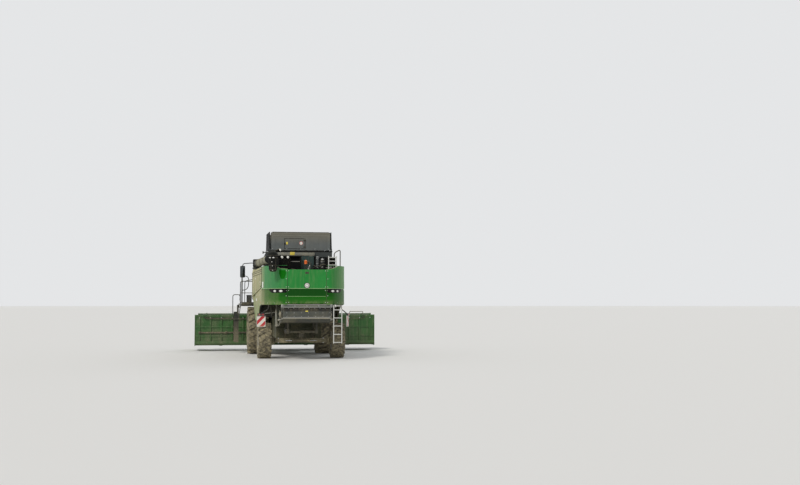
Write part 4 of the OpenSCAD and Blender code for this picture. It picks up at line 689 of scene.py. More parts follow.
PAINTED = {
    "hood_paint": "hood hood_door",
    "side_paint": "side_panel_left side_panel_right lower_shields",
    "frame_paint": "chassis panel_ribs lift_barrels cab_ladder unload_turret",
    "body_paint": "threshing_body",
    "axle_paint": "front_axle rear_axle knuckle_left knuckle_right",
    "tyre_rubber": "front_tyre_left front_tyre_right rear_tyre_left rear_tyre_right",
    "rim_paint": "front_rim_left front_rim_right rear_rim_left rear_rim_right",
    "header_paint": "feeder_house header_trough cross_auger reel_arms reel",
    "chrome_rod": "lift_rods",
    "bare_steel": "cutterbar chopper_rotor",
    "worn_auger": "auger_flights",
    "cab_paint": "cab cab_door",
    "roof_paint": "cab_roof",
    "cab_glass": "cab_glass cab_door_glass",
    "seat_cloth": "cab_chair",
    "console_grey": "cab_console",
    "cab_plastic": "hand_wheel",
    "tread_plate": "platform",
    "tank_black": "mirrors lid_left lid_right",
    "tank_wall": "grain_tank",
    "tank_plastic": "lid_rear lid_front lid_hatch",
    "tube_paint": "unload_tube",
    "spout_rubber": "unload_spout",
    "cast_iron": "engine",
    "deck_paint": "engine_deck",
    "rail_paint": "deck_rails",
    "chopper_paint": "chopper tail_board",
    "dull_metal": "guard_rail",
    "light_metal": "rear_ladder",
    "board_face": "warning_boards",
    "lens_white": "lamps",
}


class HARVESTER_OT_stage(bpy.types.Operator):
    """Makes the floor, the soft studio light and the camera at the photograph's angle"""
    bl_idname = "harvester.stage"
    bl_label = "Stage and camera"

    def execute(self, context):
        scene = context.scene
        bm = bmesh.new()
        bmesh.ops.create_circle(bm, cap_ends=True, segments=96, radius=700, matrix=Matrix.Translation((0, 0, -0.001)))
        mesh = bpy.data.meshes.new("studio_floor")
        bm.to_mesh(mesh)
        bm.free()
        floor = bpy.data.objects.new("studio_floor", mesh)
        scene.collection.objects.link(floor)
        mat = bpy.data.materials.new("studio_floor")
        mat.use_nodes = True
        skin = mat.node_tree.nodes["Principled BSDF"]
        skin.inputs["Base Color"].default_value = (0.80, 0.79, 0.77, 1)
        skin.inputs["Roughness"].default_value = 0.9
        mesh.materials.append(mat)
        world = bpy.data.worlds.new("studio_sky")
        world.use_nodes = True
        scene.world = world
        tree = world.node_tree
        tree.nodes.clear()
        path = tree.nodes.new("ShaderNodeLightPath")
        seen = tree.nodes.new("ShaderNodeMath")
        seen.operation = "MAXIMUM"
        both = tree.nodes.new("ShaderNodeMath")
        both.operation = "MAXIMUM"
        tree.links.new(path.outputs["Is Camera Ray"], seen.inputs[0])
        tree.links.new(path.outputs["Is Glossy Ray"], seen.inputs[1])
        tree.links.new(seen.outputs[0], both.inputs[0])
        tree.links.new(path.outputs["Is Transmission Ray"], both.inputs[1])
        light, shown = (tree.nodes.new("ShaderNodeBackground") for _ in range(2))
        join = tree.nodes.new("ShaderNodeMixShader")
        light.inputs[0].default_value, light.inputs[1].default_value = (0.95, 0.97, 1.0, 1), 0.5
        shown.inputs[0].default_value, shown.inputs[1].default_value = (0.78, 0.79, 0.80, 1), 1.0
        out = tree.nodes.new("ShaderNodeOutputWorld")
        tree.links.new(both.outputs[0], join.inputs[0])
        tree.links.new(light.outputs[0], join.inputs[1])
        tree.links.new(shown.outputs[0], join.inputs[2])
        tree.links.new(join.outputs[0], out.inputs[0])
        for name, turn, power, size, colour in (("soft_sun", (48, 0, -38), 1.55, 12, (1.0, 0.97, 0.9)),
                ("soft_back", (60, 0, 140), 0.35, 40, (0.9, 0.95, 1.0))):
            lamp = bpy.data.lights.new(name, "SUN")
            lamp.energy, lamp.angle, lamp.color = power, math.radians(size), colour
            o = bpy.data.objects.new(name, lamp)
            o.rotation_euler = [math.radians(a) for a in turn]
            scene.collection.objects.link(o)
        eye = bpy.data.cameras.new("photo_camera")
        eye.lens, eye.sensor_width, eye.clip_end = 50, 36, 2000
        camera = bpy.data.objects.new("photo_camera", eye)
        camera.location = (-3.93, -43.96, 2.0)
        camera.rotation_euler = (math.radians(93.12), 0, math.radians(-10.6))
        scene.collection.objects.link(camera)
        scene.camera = camera
        scene.view_settings.view_transform = "Standard"
        return {"FINISHED"}


class HARVESTER_OT_paint(bpy.types.Operator):
    """Makes the finishes and paints every solid of the machine with its own"""
    bl_idname = "harvester.paint"
    bl_label = "Finishes"

    def execute(self, context):
        make_finishes()
        finish_of = {node: finish for finish, nodes in PAINTED.items() for node in nodes.split()}
        missing = set(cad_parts) - set(finish_of)
        if missing:
            raise RuntimeError("no finish for " + ", ".join(sorted(missing)))
        for name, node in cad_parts.items():
            mat = bpy.data.materials[finish_of[name]]
            if not node.material_slots:
                node.data.materials.append(mat)
            for s in node.material_slots:
                s.material = mat
        return {"FINISHED"}


class HARVESTER_OT_hood(bpy.types.Operator):
    """Adds the seams, latch, blank badge, painted highlight lines, a painted spout shadow, reflectors and stiffeners
    of the rear hood
    """
    bl_idname = "harvester.hood"
    bl_label = "Rear hood trim"

    def execute(self, context):
        size = context.scene.harvester_sizes
        for s in SIDES:
            x = s * 677
            for z0, z1 in ((2503, 3160), (1985, 2457)):
                box((x - size.seal * 500, TAIL - 3, z0), (x + size.seal * 500, TAIL + 14, z1), 1.5)
        made("hood_door_seals", "rubber", "hood_door")
        # painted highlight lines: pale strips round the corners at the lower edge of the upper band
        for s in SIDES:
            strip(around_tail(-3, 2509, s, 690), 5, 7, Z)
        made("hood_highlight_lines", "painted_highlight_line")
        # painted highlight lines on the door: at the lower edge of the upper band and on the crease
        box((-660, TAIL - 6, 2502), (660, TAIL + 4, 2516), 2)
        box((-660, TAIL - 5, 2227), (660, TAIL + 4, 2237), 2)
        made("hood_door_highlight_lines", "painted_highlight_line", "hood_door")
        for s in SIDES:
            bolts([(s * 640, TAIL, z) for z in (2560, 3120, 2440, 2020)], BACK, size.bolt * 1000)
        made("hood_door_bolts", "light_metal", "hood_door")
        for s in SIDES:
            bolts([(s * 722, TAIL, z) for z in (2560, 2840, 3120, 2430, 2250, 2020)], BACK, size.bolt * 1000)
            bolts([(x, y, 2000) for x, y in tail_plan(0, s, 1100, 1470)[::5]], (s * 0.6, -0.8, 0), size.bolt * 900)
        made("hood_bolts", "light_metal")
        bm = work()
        box((-62, TAIL - 7, 3018), (62, TAIL + 6, 3082), 0)
        face = [f for f in bm.faces if f.normal.y < -0.9]
        bmesh.ops.inset_region(bm, faces=face, thickness=0.012, depth=-0.004)
        bmesh.ops.bevel(bm, geom=[e for e in bm.edges if abs(e.calc_face_angle(0)) > 0.5], offset=0.0025, segments=2,
            affect="EDGES", profile=0.5, material=-1)
        box((-34, TAIL - 9, 3036), (34, TAIL - 1, 3060), 3)
        made("hood_latch", "rubber", "hood_door")
        bar((0, TAIL + 4, 2610), (0, TAIL - 8, 2610), 88, 64, soft=3)
        made("hood_badge_plate", "plate_white", "hood_door")
        ring((0, TAIL - 4, 2610), Y, 90, 10, 64)
        ring((0, TAIL - 7, 2610), Y, 50, 6, 48)
        made("hood_badge_ring", "lamp_black", "hood_door")
        for s in SIDES:
            strip([(x, y, 2650) for x, y in tail_plan(-3, s, 1446, 1468)], 4, 105, Z)
        made("corner_reflectors", "lens_white")
        # painted shadow: a darker green tongue on the hood's upper band for the shadow that the unloading spout casts
        # on it
        strip(around_tail(-2, 2990, -1, 735, 960), 5, 150, Z)
        for s in SIDES:
            cut(work(), (-850 + s * 106, 0, 3000), (s, 0, -0.28))
        made("painted_spout_shadow", "tongue_green", bevel=2)
        for s in SIDES:
            strip(around_tail(8, 3303, s, 690), 9, 5, Z)
            strip(around_tail(20, 1948, s, 690), 21, 5, Z)
        made("hood_rolled_edges", "hood_paint")
        return {"FINISHED"}


class HARVESTER_OT_lamps(bpy.types.Operator):
    """Adds the black lamp surrounds, oval lenses, the tail lamps over the boards and the work lamps"""
    bl_idname = "harvester.lamps"
    bl_label = "Lamps"

    def execute(self, context):
        for s in SIDES:
            part = bmesh.new()
            strip(around_tail(-3, 2433, s, 700, 1262), 4, 74, Z, bm=part)
            cut(part, (s * 735, 0, 2360), (-s, 0, -0.75))
            cut(part, (s * 1190, 0, 2360), (s, 0, -1.1))
            add_part(part)
        made("lamp_surrounds", "lamp_black", bevel=1.5)
        rims = bmesh.new()
        for s, x in product(SIDES, (900, 1090)):
            (px, py), *_, (nx, ny) = tail_plan(0, s, x, x + 40)
            turn = math.atan2(ny - py, abs(nx - px)) * s
            where = Matrix.Translation(at(px, py, 2418)) @ Matrix.Rotation(turn, 4, "Z")
            oval_lamp(rims, where, (0.073, 0.018, 0.036), (0.08, 0.042), 32, 0.97, 0.024)
        made("tail_lamp_lenses", "lens_white")
        made("tail_lamp_bodies", "bare_steel", bm=rims)
        for s, turn in ((-1, 0), (1, BOARD_TURN)):
            side, back = (math.cos(turn), math.sin(turn)), (math.sin(turn), -math.cos(turn))
            for dx, r, end in ((-65, 36, 33), (0, 16, 14), (65, 36, 33)):
                x, y = s * 1530 + side[0] * dx, TAIL + 800 + side[1] * dx
                p, q = ((x + back[0] * d, y + back[1] * d, 1597) for d in (39, 48))
                bar(p, q, r, 32, end, 2)
        made("board_lamp_lenses", "lens_red")
        cover = bmesh.new()
        for x in (-620, -380, 380, 620):
            ring((x, 2183, 3670), Y, 58, 6, 36)
            bar((x, 2176, 3670), (x, 2181, 3670), 54, 36, 50, 2, bm=cover)
        made("roof_lamp_rings", "rubber")
        made("roof_lamp_lenses", "lens_white", bm=cover)
        return {"FINISHED"}


class HARVESTER_OT_lids(bpy.types.Operator):
    """Adds edge folds, ribs, bolts, hinges, latch and blank plates to the open tank lids, and ribs, bolts and a roof
    hatch to the tank
    """
    bl_idname = "harvester.lids"
    bl_label = "Tank lids"

    def execute(self, context):
        def face(z, out=0.0):
            return TAIL + 2346 + 50 / 690 * (z - 3950) - 12.5 - out
        x = 1096
        sweep([(-x, face(3975, 2), 3975), (-x, face(4545, 2), 4545), (-x + 24, face(4590, 2), 4590),
            (-x + 78, face(4609, 2), 4609), (x - 78, face(4609, 2), 4609), (x - 24, face(4590, 2), 4590),
            (x, face(4545, 2), 4545), (x, face(3975, 2), 3975)], 7, 8)
        made("rear_lid_folded_edge", "tank_black", "lid_rear")
        for z in (4445, 4530):
            box((-1010, face(z, 5), z), (1010, face(z, -2), z + 16), 2)
        for xx in (-930, 330, 660, 960):
            strip([(xx, face(4012, 1), 4012), (xx, face(4420, 1), 4420)], 7, 5, Y)
        made("rear_lid_ribs", "tank_plastic", "lid_rear")
        for xx in (-1040, -520, 0, 520, 1040):
            bolt((xx, face(3990), 3990), BACK, 9)
            bolt((xx, face(4590), 4590), BACK, 7)
        made("rear_lid_bolts", "bare_steel", "lid_rear")
        strip([(-598, face(4002, 3), 4002), (-598, face(4378, 3), 4378), (148, face(4378, 3), 4378),
            (148, face(4002, 3), 4002), (-598, face(4002, 3), 4002)], 5, 5, (0, -1, 0.07))
        made("hatch_rim", "tank_black", "lid_hatch")
        for z in (4060, 4310):
            box((94, face(z, 13), z - 26), (180, face(z, 4), z + 26), 4)
            bar((166, face(z, 22), z - 30), (166, face(z, 22), z + 30), 9, 12, soft=2)
        box((-612, face(4180, 16), 4150), (-560, face(4180, 2), 4206), 5)
        sweep([(-595, face(4180, 14), 4180), (-595, face(4180, 34), 4180), (-550, face(4180, 36), 4172)], 8, 10)
        made("hatch_hinges_and_latch", "rubber", "lid_hatch")
        box((-536, face(4200, 5), 4155), (-480, face(4200, -1), 4245), 2)
        made("hatch_plate", "plate_yellow", "lid_hatch")
        bar((12, face(4205, 4), 4205), (12, face(4205, -2), 4205), 66, 40, soft=1)
        made("hatch_disc", "plate_white", "lid_hatch")
        ring((12, face(4205, 4), 4205), (0, 1, 0.07), 62, 7, 48, 6)
        made("hatch_disc_ring", "plate_red", "lid_hatch")
        for part, name in ((-1, "lid_left"), (1, "lid_right")):
            for y in (-3400, -2900, -2400):
                box((part * 1150 - 6, y - 40, 4020), (part * 1150 + 10 * part, y + 40, 4560), 4)
            made(name + "_ribs", "tank_black", name)
        for xx in (-1020, -600, -200, 200, 600, 1020):
            box((xx - 30, TAIL + 2310, 3905), (xx + 30, TAIL + 2332, 3945), 3)
            bolt((xx, TAIL + 2311, 3918), BACK, 7)
        made("rear_lid_hinge_plates", "tank_black")
        # painted shadow: a near-black strip on the tank's rear wall under the rear lid's lower edge
        box((-1156, TAIL + 2321, 3884), (1156, TAIL + 2331, 3922), 3)
        made("rear_lid_painted_shadow", "shade_black")
        for s in SIDES:
            strip([(s * 1168, y, 3900) for y in (-3650, -1760)], 8, 16, Z)
            for y in range(-3600, -1700, 230):
                bolt((s * 1160, y, 3860), (s, 0, 0), 8)
                bolt((s * 1160, y, 3300), (s, 0, 0), 8)
            for y in (-3300, -2700, -2100, -1500):
                box((s * 1158 - 2, y - 20, 3290), (s * 1158 + s * 14, y + 20, 3880), 3)
        bolts([(xx, TAIL + 2330, 3870) for xx in range(-1080, 1100, 180)], BACK, 8)
        for xx in range(-900, 901, 300):
            strip([(xx, -298, 3260), (xx, -298, 3770)], 16, 10, Y)
        for xx in (-760, 0, 760):
            strip([(xx, y, 3936 - (y + 1710) * 0.0851) for y in (-1660, -340)], 18, 8, Z)
        for s in SIDES:
            strip([(s * 1402, y, 3236) for y in (-3640, -320)], 6, 14, Z)
        made("tank_wall_ribs", "tank_wall")
        bm = work()
        box((120, -1240, 3880), (640, -760, 3898), 8)
        for xx in (150, 610):
            bolts([(xx, y, 3898) for y in (-1210, -790)], Z, 10)
        bmesh.ops.rotate(bm, verts=bm.verts, cent=at(0, -1000, 3880), matrix=Matrix.Rotation(-0.085, 3, "X"))
        made("tank_roof_hatch", "tank_black")
        return {"FINISHED"}


class HARVESTER_OT_deck(bpy.types.Operator):
    """Adds the fittings of the engine deck: cooler, lamps, lids, pipes, caps, clamps and the beacon's lens"""
    bl_idname = "harvester.deck"
    bl_label = "Engine deck fittings"

    def execute(self, context):
        for z in range(3180, 3560, 38):
            box((-880, -5158, z), (-520, -5148, z + 18), 3)
        for xx in (-890, -518):
            box((xx, -5162, 3150), (xx + 12, -5146, 3590), 3)
        made("cooler_slats", "shade_black")
        box((-874, -5153, 3165), (-526, -5147, 3575), 1)
        made("cooler_screen", "cooler_mesh")
        glassy, rims = bmesh.new(), bmesh.new()
        for xx in (-805, -600):
            bar((xx, -5152, 3622), (xx, -5100, 3622), 44, 28, 30, 3)
            ball((xx, -5154, 3622), (40, 16, 40), 24, bm=glassy)
            ring((xx, -5154, 3622), Y, 42, 5, 32, bm=rims)
        bar((-1090, -5110, 3792), (-896, -5186, 3868), 44, 28, 62, 4)
        hose([(-1080, -5114, 3796), (-1040, -5020, 3740), (-960, -4800, 3660), (-880, -4700, 3590)], 22, 10)
        ball((-890, -5194, 3872), (42, 20, 42), 24, bm=glassy)
        ring((-890, -5190, 3872), (0, 1, -0.2), 45, 5, 32, bm=rims)
        made("deck_lamp_bodies", "shade_black")
        made("deck_lamp_lenses", "lens_white", bm=glassy)
        made("deck_lamp_rims", "bare_steel", bm=rims)
        box((-500, -4908, 3466), (-150, -4901, 3494), 3)
        made("light_bar_lens", "dull_metal")
        box((-405, -3797, 3757), (-235, -3790, 3866), 3)
        made("blank_yellow_label", "plate_yellow")
        box((-930, -3792, 3738), (496, -3780, 3858), 4)
        box((-930, -3792, 3846), (496, -3672, 3858), 4)
        box((300, -3786, 3705), (420, -3672, 3796), 12)
        for xx in (-880, -480, 60, 260, 450):
            bolts([(xx, -3792, z) for z in (3760, 3836)], BACK, 8)
        made("beam_cover", "dull_metal")
        ball((30, -5200, 3498), (50, 50, 26), 28)
        ring((30, -5200, 3384), Z, 52, 5, 40)
        made("beacon_lens", "lens_amber")
        bar((30, -5200, 3131), (30, -5200, 3142), 60, 24, soft=2)
        bar((30, -5200, 3352), (30, -5200, 3380), 40, 24, 56, 2)
        hose([(60, -5240, 3136), (130, -5260, 3150), (180, -5180, 3240), (200, -4990, 3420), (190, -4770, 3470)],
            13, 10)
        hose([(40, -5170, 3136), (90, -5140, 3160), (100, -4990, 3260), (80, -4765, 3300)], 9, 8)
        box((150, -4785, 3440), (220, -4758, 3500), 6)
        made("beacon_foot_and_pipes", "rubber")
        sweep([(190, -5110, 3350), (150, -5116, 3270), (128, -5120, 3230)], 13, 10)
        bar((128, -5120, 3132), (128, -5120, 3240), 20, 14, soft=3)
        made("dipstick", "light_metal")
        for xx in (-50, 60, 170, 280):
            box((xx - 5, -4772, 3150), (xx + 5, -4760, 3660), 2)
        for z in (3170, 3650):
            bolts([(xx, -4761, z) for xx in (-45, 85, 205, 335)], BACK, 7)
        made("grey_panel_ribs", "console_grey")
        for z in (3200, 3420, 3600):
            ring((500, -4700, z), Z, 57, 5, 36)
        for z in (3180, 3480):
            ring((680, -4700, z), Z, 97, 5, 40)
        bar((500, -4700, 3640), (500, -4700, 3664), 62, 28, soft=4)
        bar((680, -4700, 3548), (680, -4700, 3590), 66, 28, 60, 4)
        bar((680, -4700, 3588), (680, -4700, 3606), 22, 16, soft=3)
        made("pipe_clamps_and_caps", "bare_steel")
        for xx, yy, z, r in ((820, -4860, 3131, 60), (930, -5180, 3131, 70), (430, -5050, 3131, 62),
                (280, -5150, 3131, 50), (610, -5200, 3131, 58)):
            bar((xx, yy, z), (xx, yy, z + 110), r, 24, r * 0.86, 5)
            bar((xx, yy, z + 108), (xx, yy, z + 140), r * 0.55, 8, soft=3)
        made("filter_pots", "tank_black")
        for xx, yy in ((820, -4860), (930, -5180), (430, -5050), (610, -5200)):
            ball((xx, yy, 3275), (40, 40, 12), 18)
        made("filler_caps", "plate_white")
        for r, *points in (
                (22, (820, -4860, 3240), (800, -4900, 3330), (700, -4980, 3380), (560, -4960, 3330), (520, -4800, 3300)),
                (18, (430, -5050, 3240), (400, -5100, 3300), (320, -5050, 3330), (330, -4900, 3310), (340, -4770, 3330)),
                (20, (930, -5180, 3240), (1010, -5200, 3280), (1060, -5000, 3330), (1030, -4810, 3400)),
                (14, (-500, -5050, 3220), (-420, -5120, 3200), (-300, -5140, 3180), (-180, -5160, 3150)),
                (15, (610, -5200, 3230), (560, -5230, 3290), (400, -5240, 3290), (280, -5180, 3230))):
            hose(points, r, 12)
        made("deck_coolant_pipes", "rubber")
        for z in range(3170, 3600, 44):
            box((900, -4812, z), (1120, -4799, z + 20), 3)
        box((890, -4816, 3140), (900, -4798, 3610), 3)
        box((1120, -4816, 3140), (1130, -4798, 3610), 3)
        made("air_box_louvres", "shade_black")
        for xx in (870, 1150):
            bar((xx, -5000, 3131), (xx, -5000, 3140), 34, 20, soft=2)
            ball((xx, -5000, 3678), (20, 20, 8), 16)
        for z in (3360, 3630):
            bar((856, -5000, z), (1164, -5000, z), 15, 14, soft=2)
        for z, xx in product((3260, 3500), range(900, 1150, 44)):
            ring((xx, -5000, z), X, 13.5, 2.2, 14, 5)
        made("deck_step_grips", "light_metal")
        for xx in (1385, 1165):
            bar((xx, -4250, 3131), (xx, -4250, 3142), 32, 20, soft=2)
        bar((-1220, -5250, 3131), (-1220, -5250, 3141), 40, 20, soft=2)
        box((-1392, -5280, 3368), (-1238, -5220, 3382), 3)
        made("handrail_feet", "frame_paint")
        return {"FINISHED"}


class HARVESTER_OT_unloader(bpy.types.Operator):
    """Adds clamps, flanges, lamps and the lip of the unloading auger and its rubber spout"""
    bl_idname = "harvester.unloader"
    bl_label = "Unloading auger"

    def execute(self, context):
        a, b = Vector((*TURRET, 3530)), Vector((-1300, -5750, 3530))
        axis = b - a
        for y, r in ((-1240, 144), (-2150, 141), (-2180, 141), (-3500, 140), (-4700, 140), (-5640, 140)):
            p = a + axis * ((-1000 - y) / 4750)
            ring(p, axis, r, 9, 56, 6)
        p = a + axis * (1165 / 4750)
        for c, d in circle(12):
            q = p + Vector((c * 152, 0, d * 152))
            bar(q - Vector((0, 26, 0)), q + Vector((0, 26, 0)), 8, 6)
        made("tube_flanges", "frame_paint", "unloader")
        for z in (3392, 3450):
            ring((*TURRET, z), Z, 153, 7, 48, 6)
        ring((*TURRET, 3350), Z, 181, 6, 56, 6)
        for c, d in circle(10):
            p = TURRET[0] + c * 166, TURRET[1] + d * 166
            bar((*p, 3370), (*p, 3384), 9, 6)
        made("elbow_rings", "frame_paint", "unloader")
        # near-black elbow cover: a real housing whose black is partly painted shade on the auger's elbow
        box((-1600, -1130, 3400), (-1296, -880, 3700), 26)
        for z in (3440, 3520, 3600):
            box((-1606, -1100, z), (-1290, -910, z + 26), 5)
        made("elbow_cover", "tank_black", "unloader")
        cx, cy = -1190, -6060
        for z, r in ((3640, 180), (3560, 173), (3300, 152), (3140, 139)):
            ring((cx, cy, z), Z, r, 6, 56, 6)
        ring((cx, cy, 3087), Z, 84, 7, 48, 6)
        rows = (3640, 180), (3400, 160), (3140, 139), (3090, 96)
        for t in (-0.55, 0.55, 2.5, 3.78):
            sweep([(cx + math.sin(t) * r, cy - math.cos(t) * r, z) for z, r in rows], 6, 8)
        made("spout_bands", "rubber", "unloader")
        rims = bmesh.new()
        for x in (-1300, -1190):
            y = cy - math.sqrt(172 ** 2 - (x - cx) ** 2)
            where = Matrix.Translation(at(x, y, 3560)) @ Matrix.Rotation(math.asin((x - cx) / 172), 4, "Z")
            oval_lamp(rims, where, (0.034, 0.012, 0.017), (0.043, 0.025), 24, 0.95, 0.016)
        for x, z in ((-1236, 3415), (-1218, 3277), (-1208, 3130)):
            r = 138 + (z - 3140) / 500 * 40
            y = cy - math.sqrt(r ** 2 - (x - cx) ** 2)
            bar((x, y + 6, z), (x, y - 6, z), 14, 20, 11, 2)
        made("spout_lamps", "lens_white", "unloader")
        made("spout_lamp_bodies", "bare_steel", "unloader", bm=rims)
        box((-1540, -5990, 3735), (-1300, -5955, 3768), 5)
        box((-1545, -6010, 3700), (-1510, -5950, 3790), 6)
        hose([(-1400, -5972, 3750), (-1370, -5960, 3700), (-1330, -5900, 3668)], 14, 10)
        made("spout_bracket", "frame_paint", "unloader")
        hose([(-1296, -1500, 3610), (-1262, -2200, 3655), (-1240, -3500, 3655), (-1204, -4700, 3655),
            (-1180, -5560, 3650), (-1150, -5800, 3700)], 11, 8)
        hose([(-1320, -1500, 3628), (-1286, -2200, 3668), (-1262, -3500, 3668), (-1228, -4700, 3668),
            (-1200, -5560, 3662)], 8, 8)
        made("unloader_pipes", "rubber", "unloader")
        return {"FINISHED"}


class HARVESTER_OT_sides(bpy.types.Operator):
    """Adds seams, louvres, latches, rolled edges, reflectors and bolts along both sides"""
    bl_idname = "harvester.sides"
    bl_label = "Side panels and shields"

    def execute(self, context):
        r = context.scene.harvester_sizes.bolt * 1000
        edge = [(-4490, 1950), (-3640, 1890), (-3230, 1620), (-2950, 1420), (-1250, 1330), (-1080, 1560), (-860, 1830),
            (-600, 1960), (56, 1990)]
        for s, name in NAMED_SIDES:
            body = "side_panel_" + name
            x = s * HALF
            strip([(x + s * 2, y, crease(y) + 4) for y in (-4490, -3000, -1262)], 5, 18, Z)
            for y in (-4492, -1263):
                strip([(wall(s, y, z) + s * 1, y, z) for z in (crease(y) + 20, 3120, 3288)], 8, 4, Y)
            made("panel_seal_" + name, "rubber", body)
            if s > 0:
                bm = work()
                y0, y1 = -4150, -2950
                for y in (y0, y1 - 26):
                    box((x - 4, y, 2640), (x + 16, y + 26, 3010), 4)
                for z in (2640, 2984):
                    box((x - 4, y0, z), (x + 16, y1, z + 26), 4)
                for z in range(2678, 2980, 30):
                    v = box((x, y0 + 20, z), (x + 12, y1 - 20, z + 5))
                    bmesh.ops.rotate(bm, verts=v, cent=at(x, 0, z), matrix=Matrix.Rotation(0.55, 3, "Y"))
                made("louvre_right", "side_paint", body)
                box((x - 2, y0 + 22, 2662), (x + 4, y1 - 22, 2990), 0.5)
                made("louvre_screen_right", "cooler_mesh", body)
            for y in (-4200, -2900, -1550):
                z = crease(y) + 70
                x = wall(s, y, z)
                box((x - s * 4, y - 60, z - 28), (x + s * 5, y + 60, z + 28), 6)
                box((x, y - 42, z - 8), (x + s * 14, y + 42, z + 8), 5)
            made("panel_latches_" + name, "rubber", body)
            for y in (-4430, -3800, -3560, -1400):
                bolts([(wall(s, y + d, 3280), y + d, 3280) for d in (-20, 50)], (s, 0, 0), r)
            bolts([(wall(s, y, crease(y) + 26), y, crease(y) + 26) for y in range(-4400, -1300, 310)], (s, 0, 0),
                r * 0.8)
            made("panel_bolts_" + name, "light_metal", body)
            for y in (-3680, -2880, -2080):
                strip([(wall(s, y, z), y, z) for z in (crease(y) + 40, 3070)], 4, 3, Y)
            made("panel_joints_" + name, "rubber", body)
            for y in (-4120, -3330, -2540, -1750):
                box((s * 1476.5 - 10.5, y - 46, 3268), (s * 1476.5 + 10.5, y + 46, 3318), 5)
                bar((s * 1483, y - 50, 3322), (s * 1483, y + 50, 3322), 9, 12, soft=2)
            made("panel_hinges_" + name, "frame_paint", body)
            for y, z, half, high in ((-3960, 2760, 44, 26), (-2300, 2920, 60, 34), (-1500, 2800, 34, 44)):
                x = wall(s, y, z)
                box((x - s * 3, y - half, z - high), (x + s * 4, y + half, z + high), 1)
            made("blank_labels_" + name, "plate_white", body)
            strip([(s * (HALF - 20), y, z) for y, z in edge], 9, 24, X)
            made("skirt_edge_" + name, "rubber")
            for y in range(-4350, 50, 420):
                z = min(crease(y) - 40, 2300)
                if s > 0 or y < -1262:
                    bolt((wall(s, y, z), y, z), (s, 0, 0), r)
            bolts([(wall(s, y, z), y, z) for y, z in ((-3560, 1960), (-3100, 1640), (-2700, 1480), (-2000, 1440),
                (-1400, 1420), (-1130, 1640), (-900, 1900))], (s, 0, 0), r)
            bolts([(HALF, y, 3250) for y in (range(-1150, 60, 290) if s > 0 else ())], (s, 0, 0), r)
            made("shield_bolts_" + name, "light_metal")
            for y, z in ((-4100, 2020), (-2300, 1560), (-1350, 1560)):
                x = wall(s, y, z)
                box((x - s * 2, y - 48, z - 22), (x + s * 7, y + 48, z + 22), 5)
            made("side_marker_" + name, "lens_amber")
            for y, z0, z1 in ((-3300, 1700, 2150), (-1500, 1450, 2100)):
                strip([(wall(s, y, z), y, z) for z in (z0, z1)], 9, 7, Y)
            strip([(wall(s, y, 1909), y, 1909) for y in (-2900, -1700)], 7, 9, Z)
            made("shield_ribs_" + name, "side_paint")
            strip([(wall(s, y, 2155) + s * 1, y, 2155) for y in (-2480, -2120)], 3, 75, Z)
            made("blank_plate_" + name, "plate_white")
        base = [*edge[:7], (-700, 1920)]
        rows = []
        for y in (-4486, -3400, -2300, -1266):
            z0 = crease(y) + 14
            rows.append([(-1477, y, z0), *[(wall(-1, y, z), y, z) for z in (z0, 3120, 3290)], (-1477, y, 3290)])
        loft(rows)
        made("side_skin_left", "side_paint", "side_panel_left", bevel=4)
        rows = []
        for y in (-4486, -3640, -3230, -2950, -2100, -1250, -1080, -860, -700):
            p, q = next((p, q) for p, q in zip(base, base[1:]) if p[0] <= y <= q[0])
            z0 = p[1] + (q[1] - p[1]) * (y - p[0]) / (q[0] - p[0])
            z1 = crease(y) - 14 if y < -1262 else 2200
            rows.append([(-1477, y, z0), (wall(-1, y, z0), y, z0),
                (-(HALF + 2 + 88 * forward(y)), y, z1), (-1477, y, z1)])
        loft(rows)
        made("skirt_skin_left", "side_paint", bevel=4)
        return {"FINISHED"}


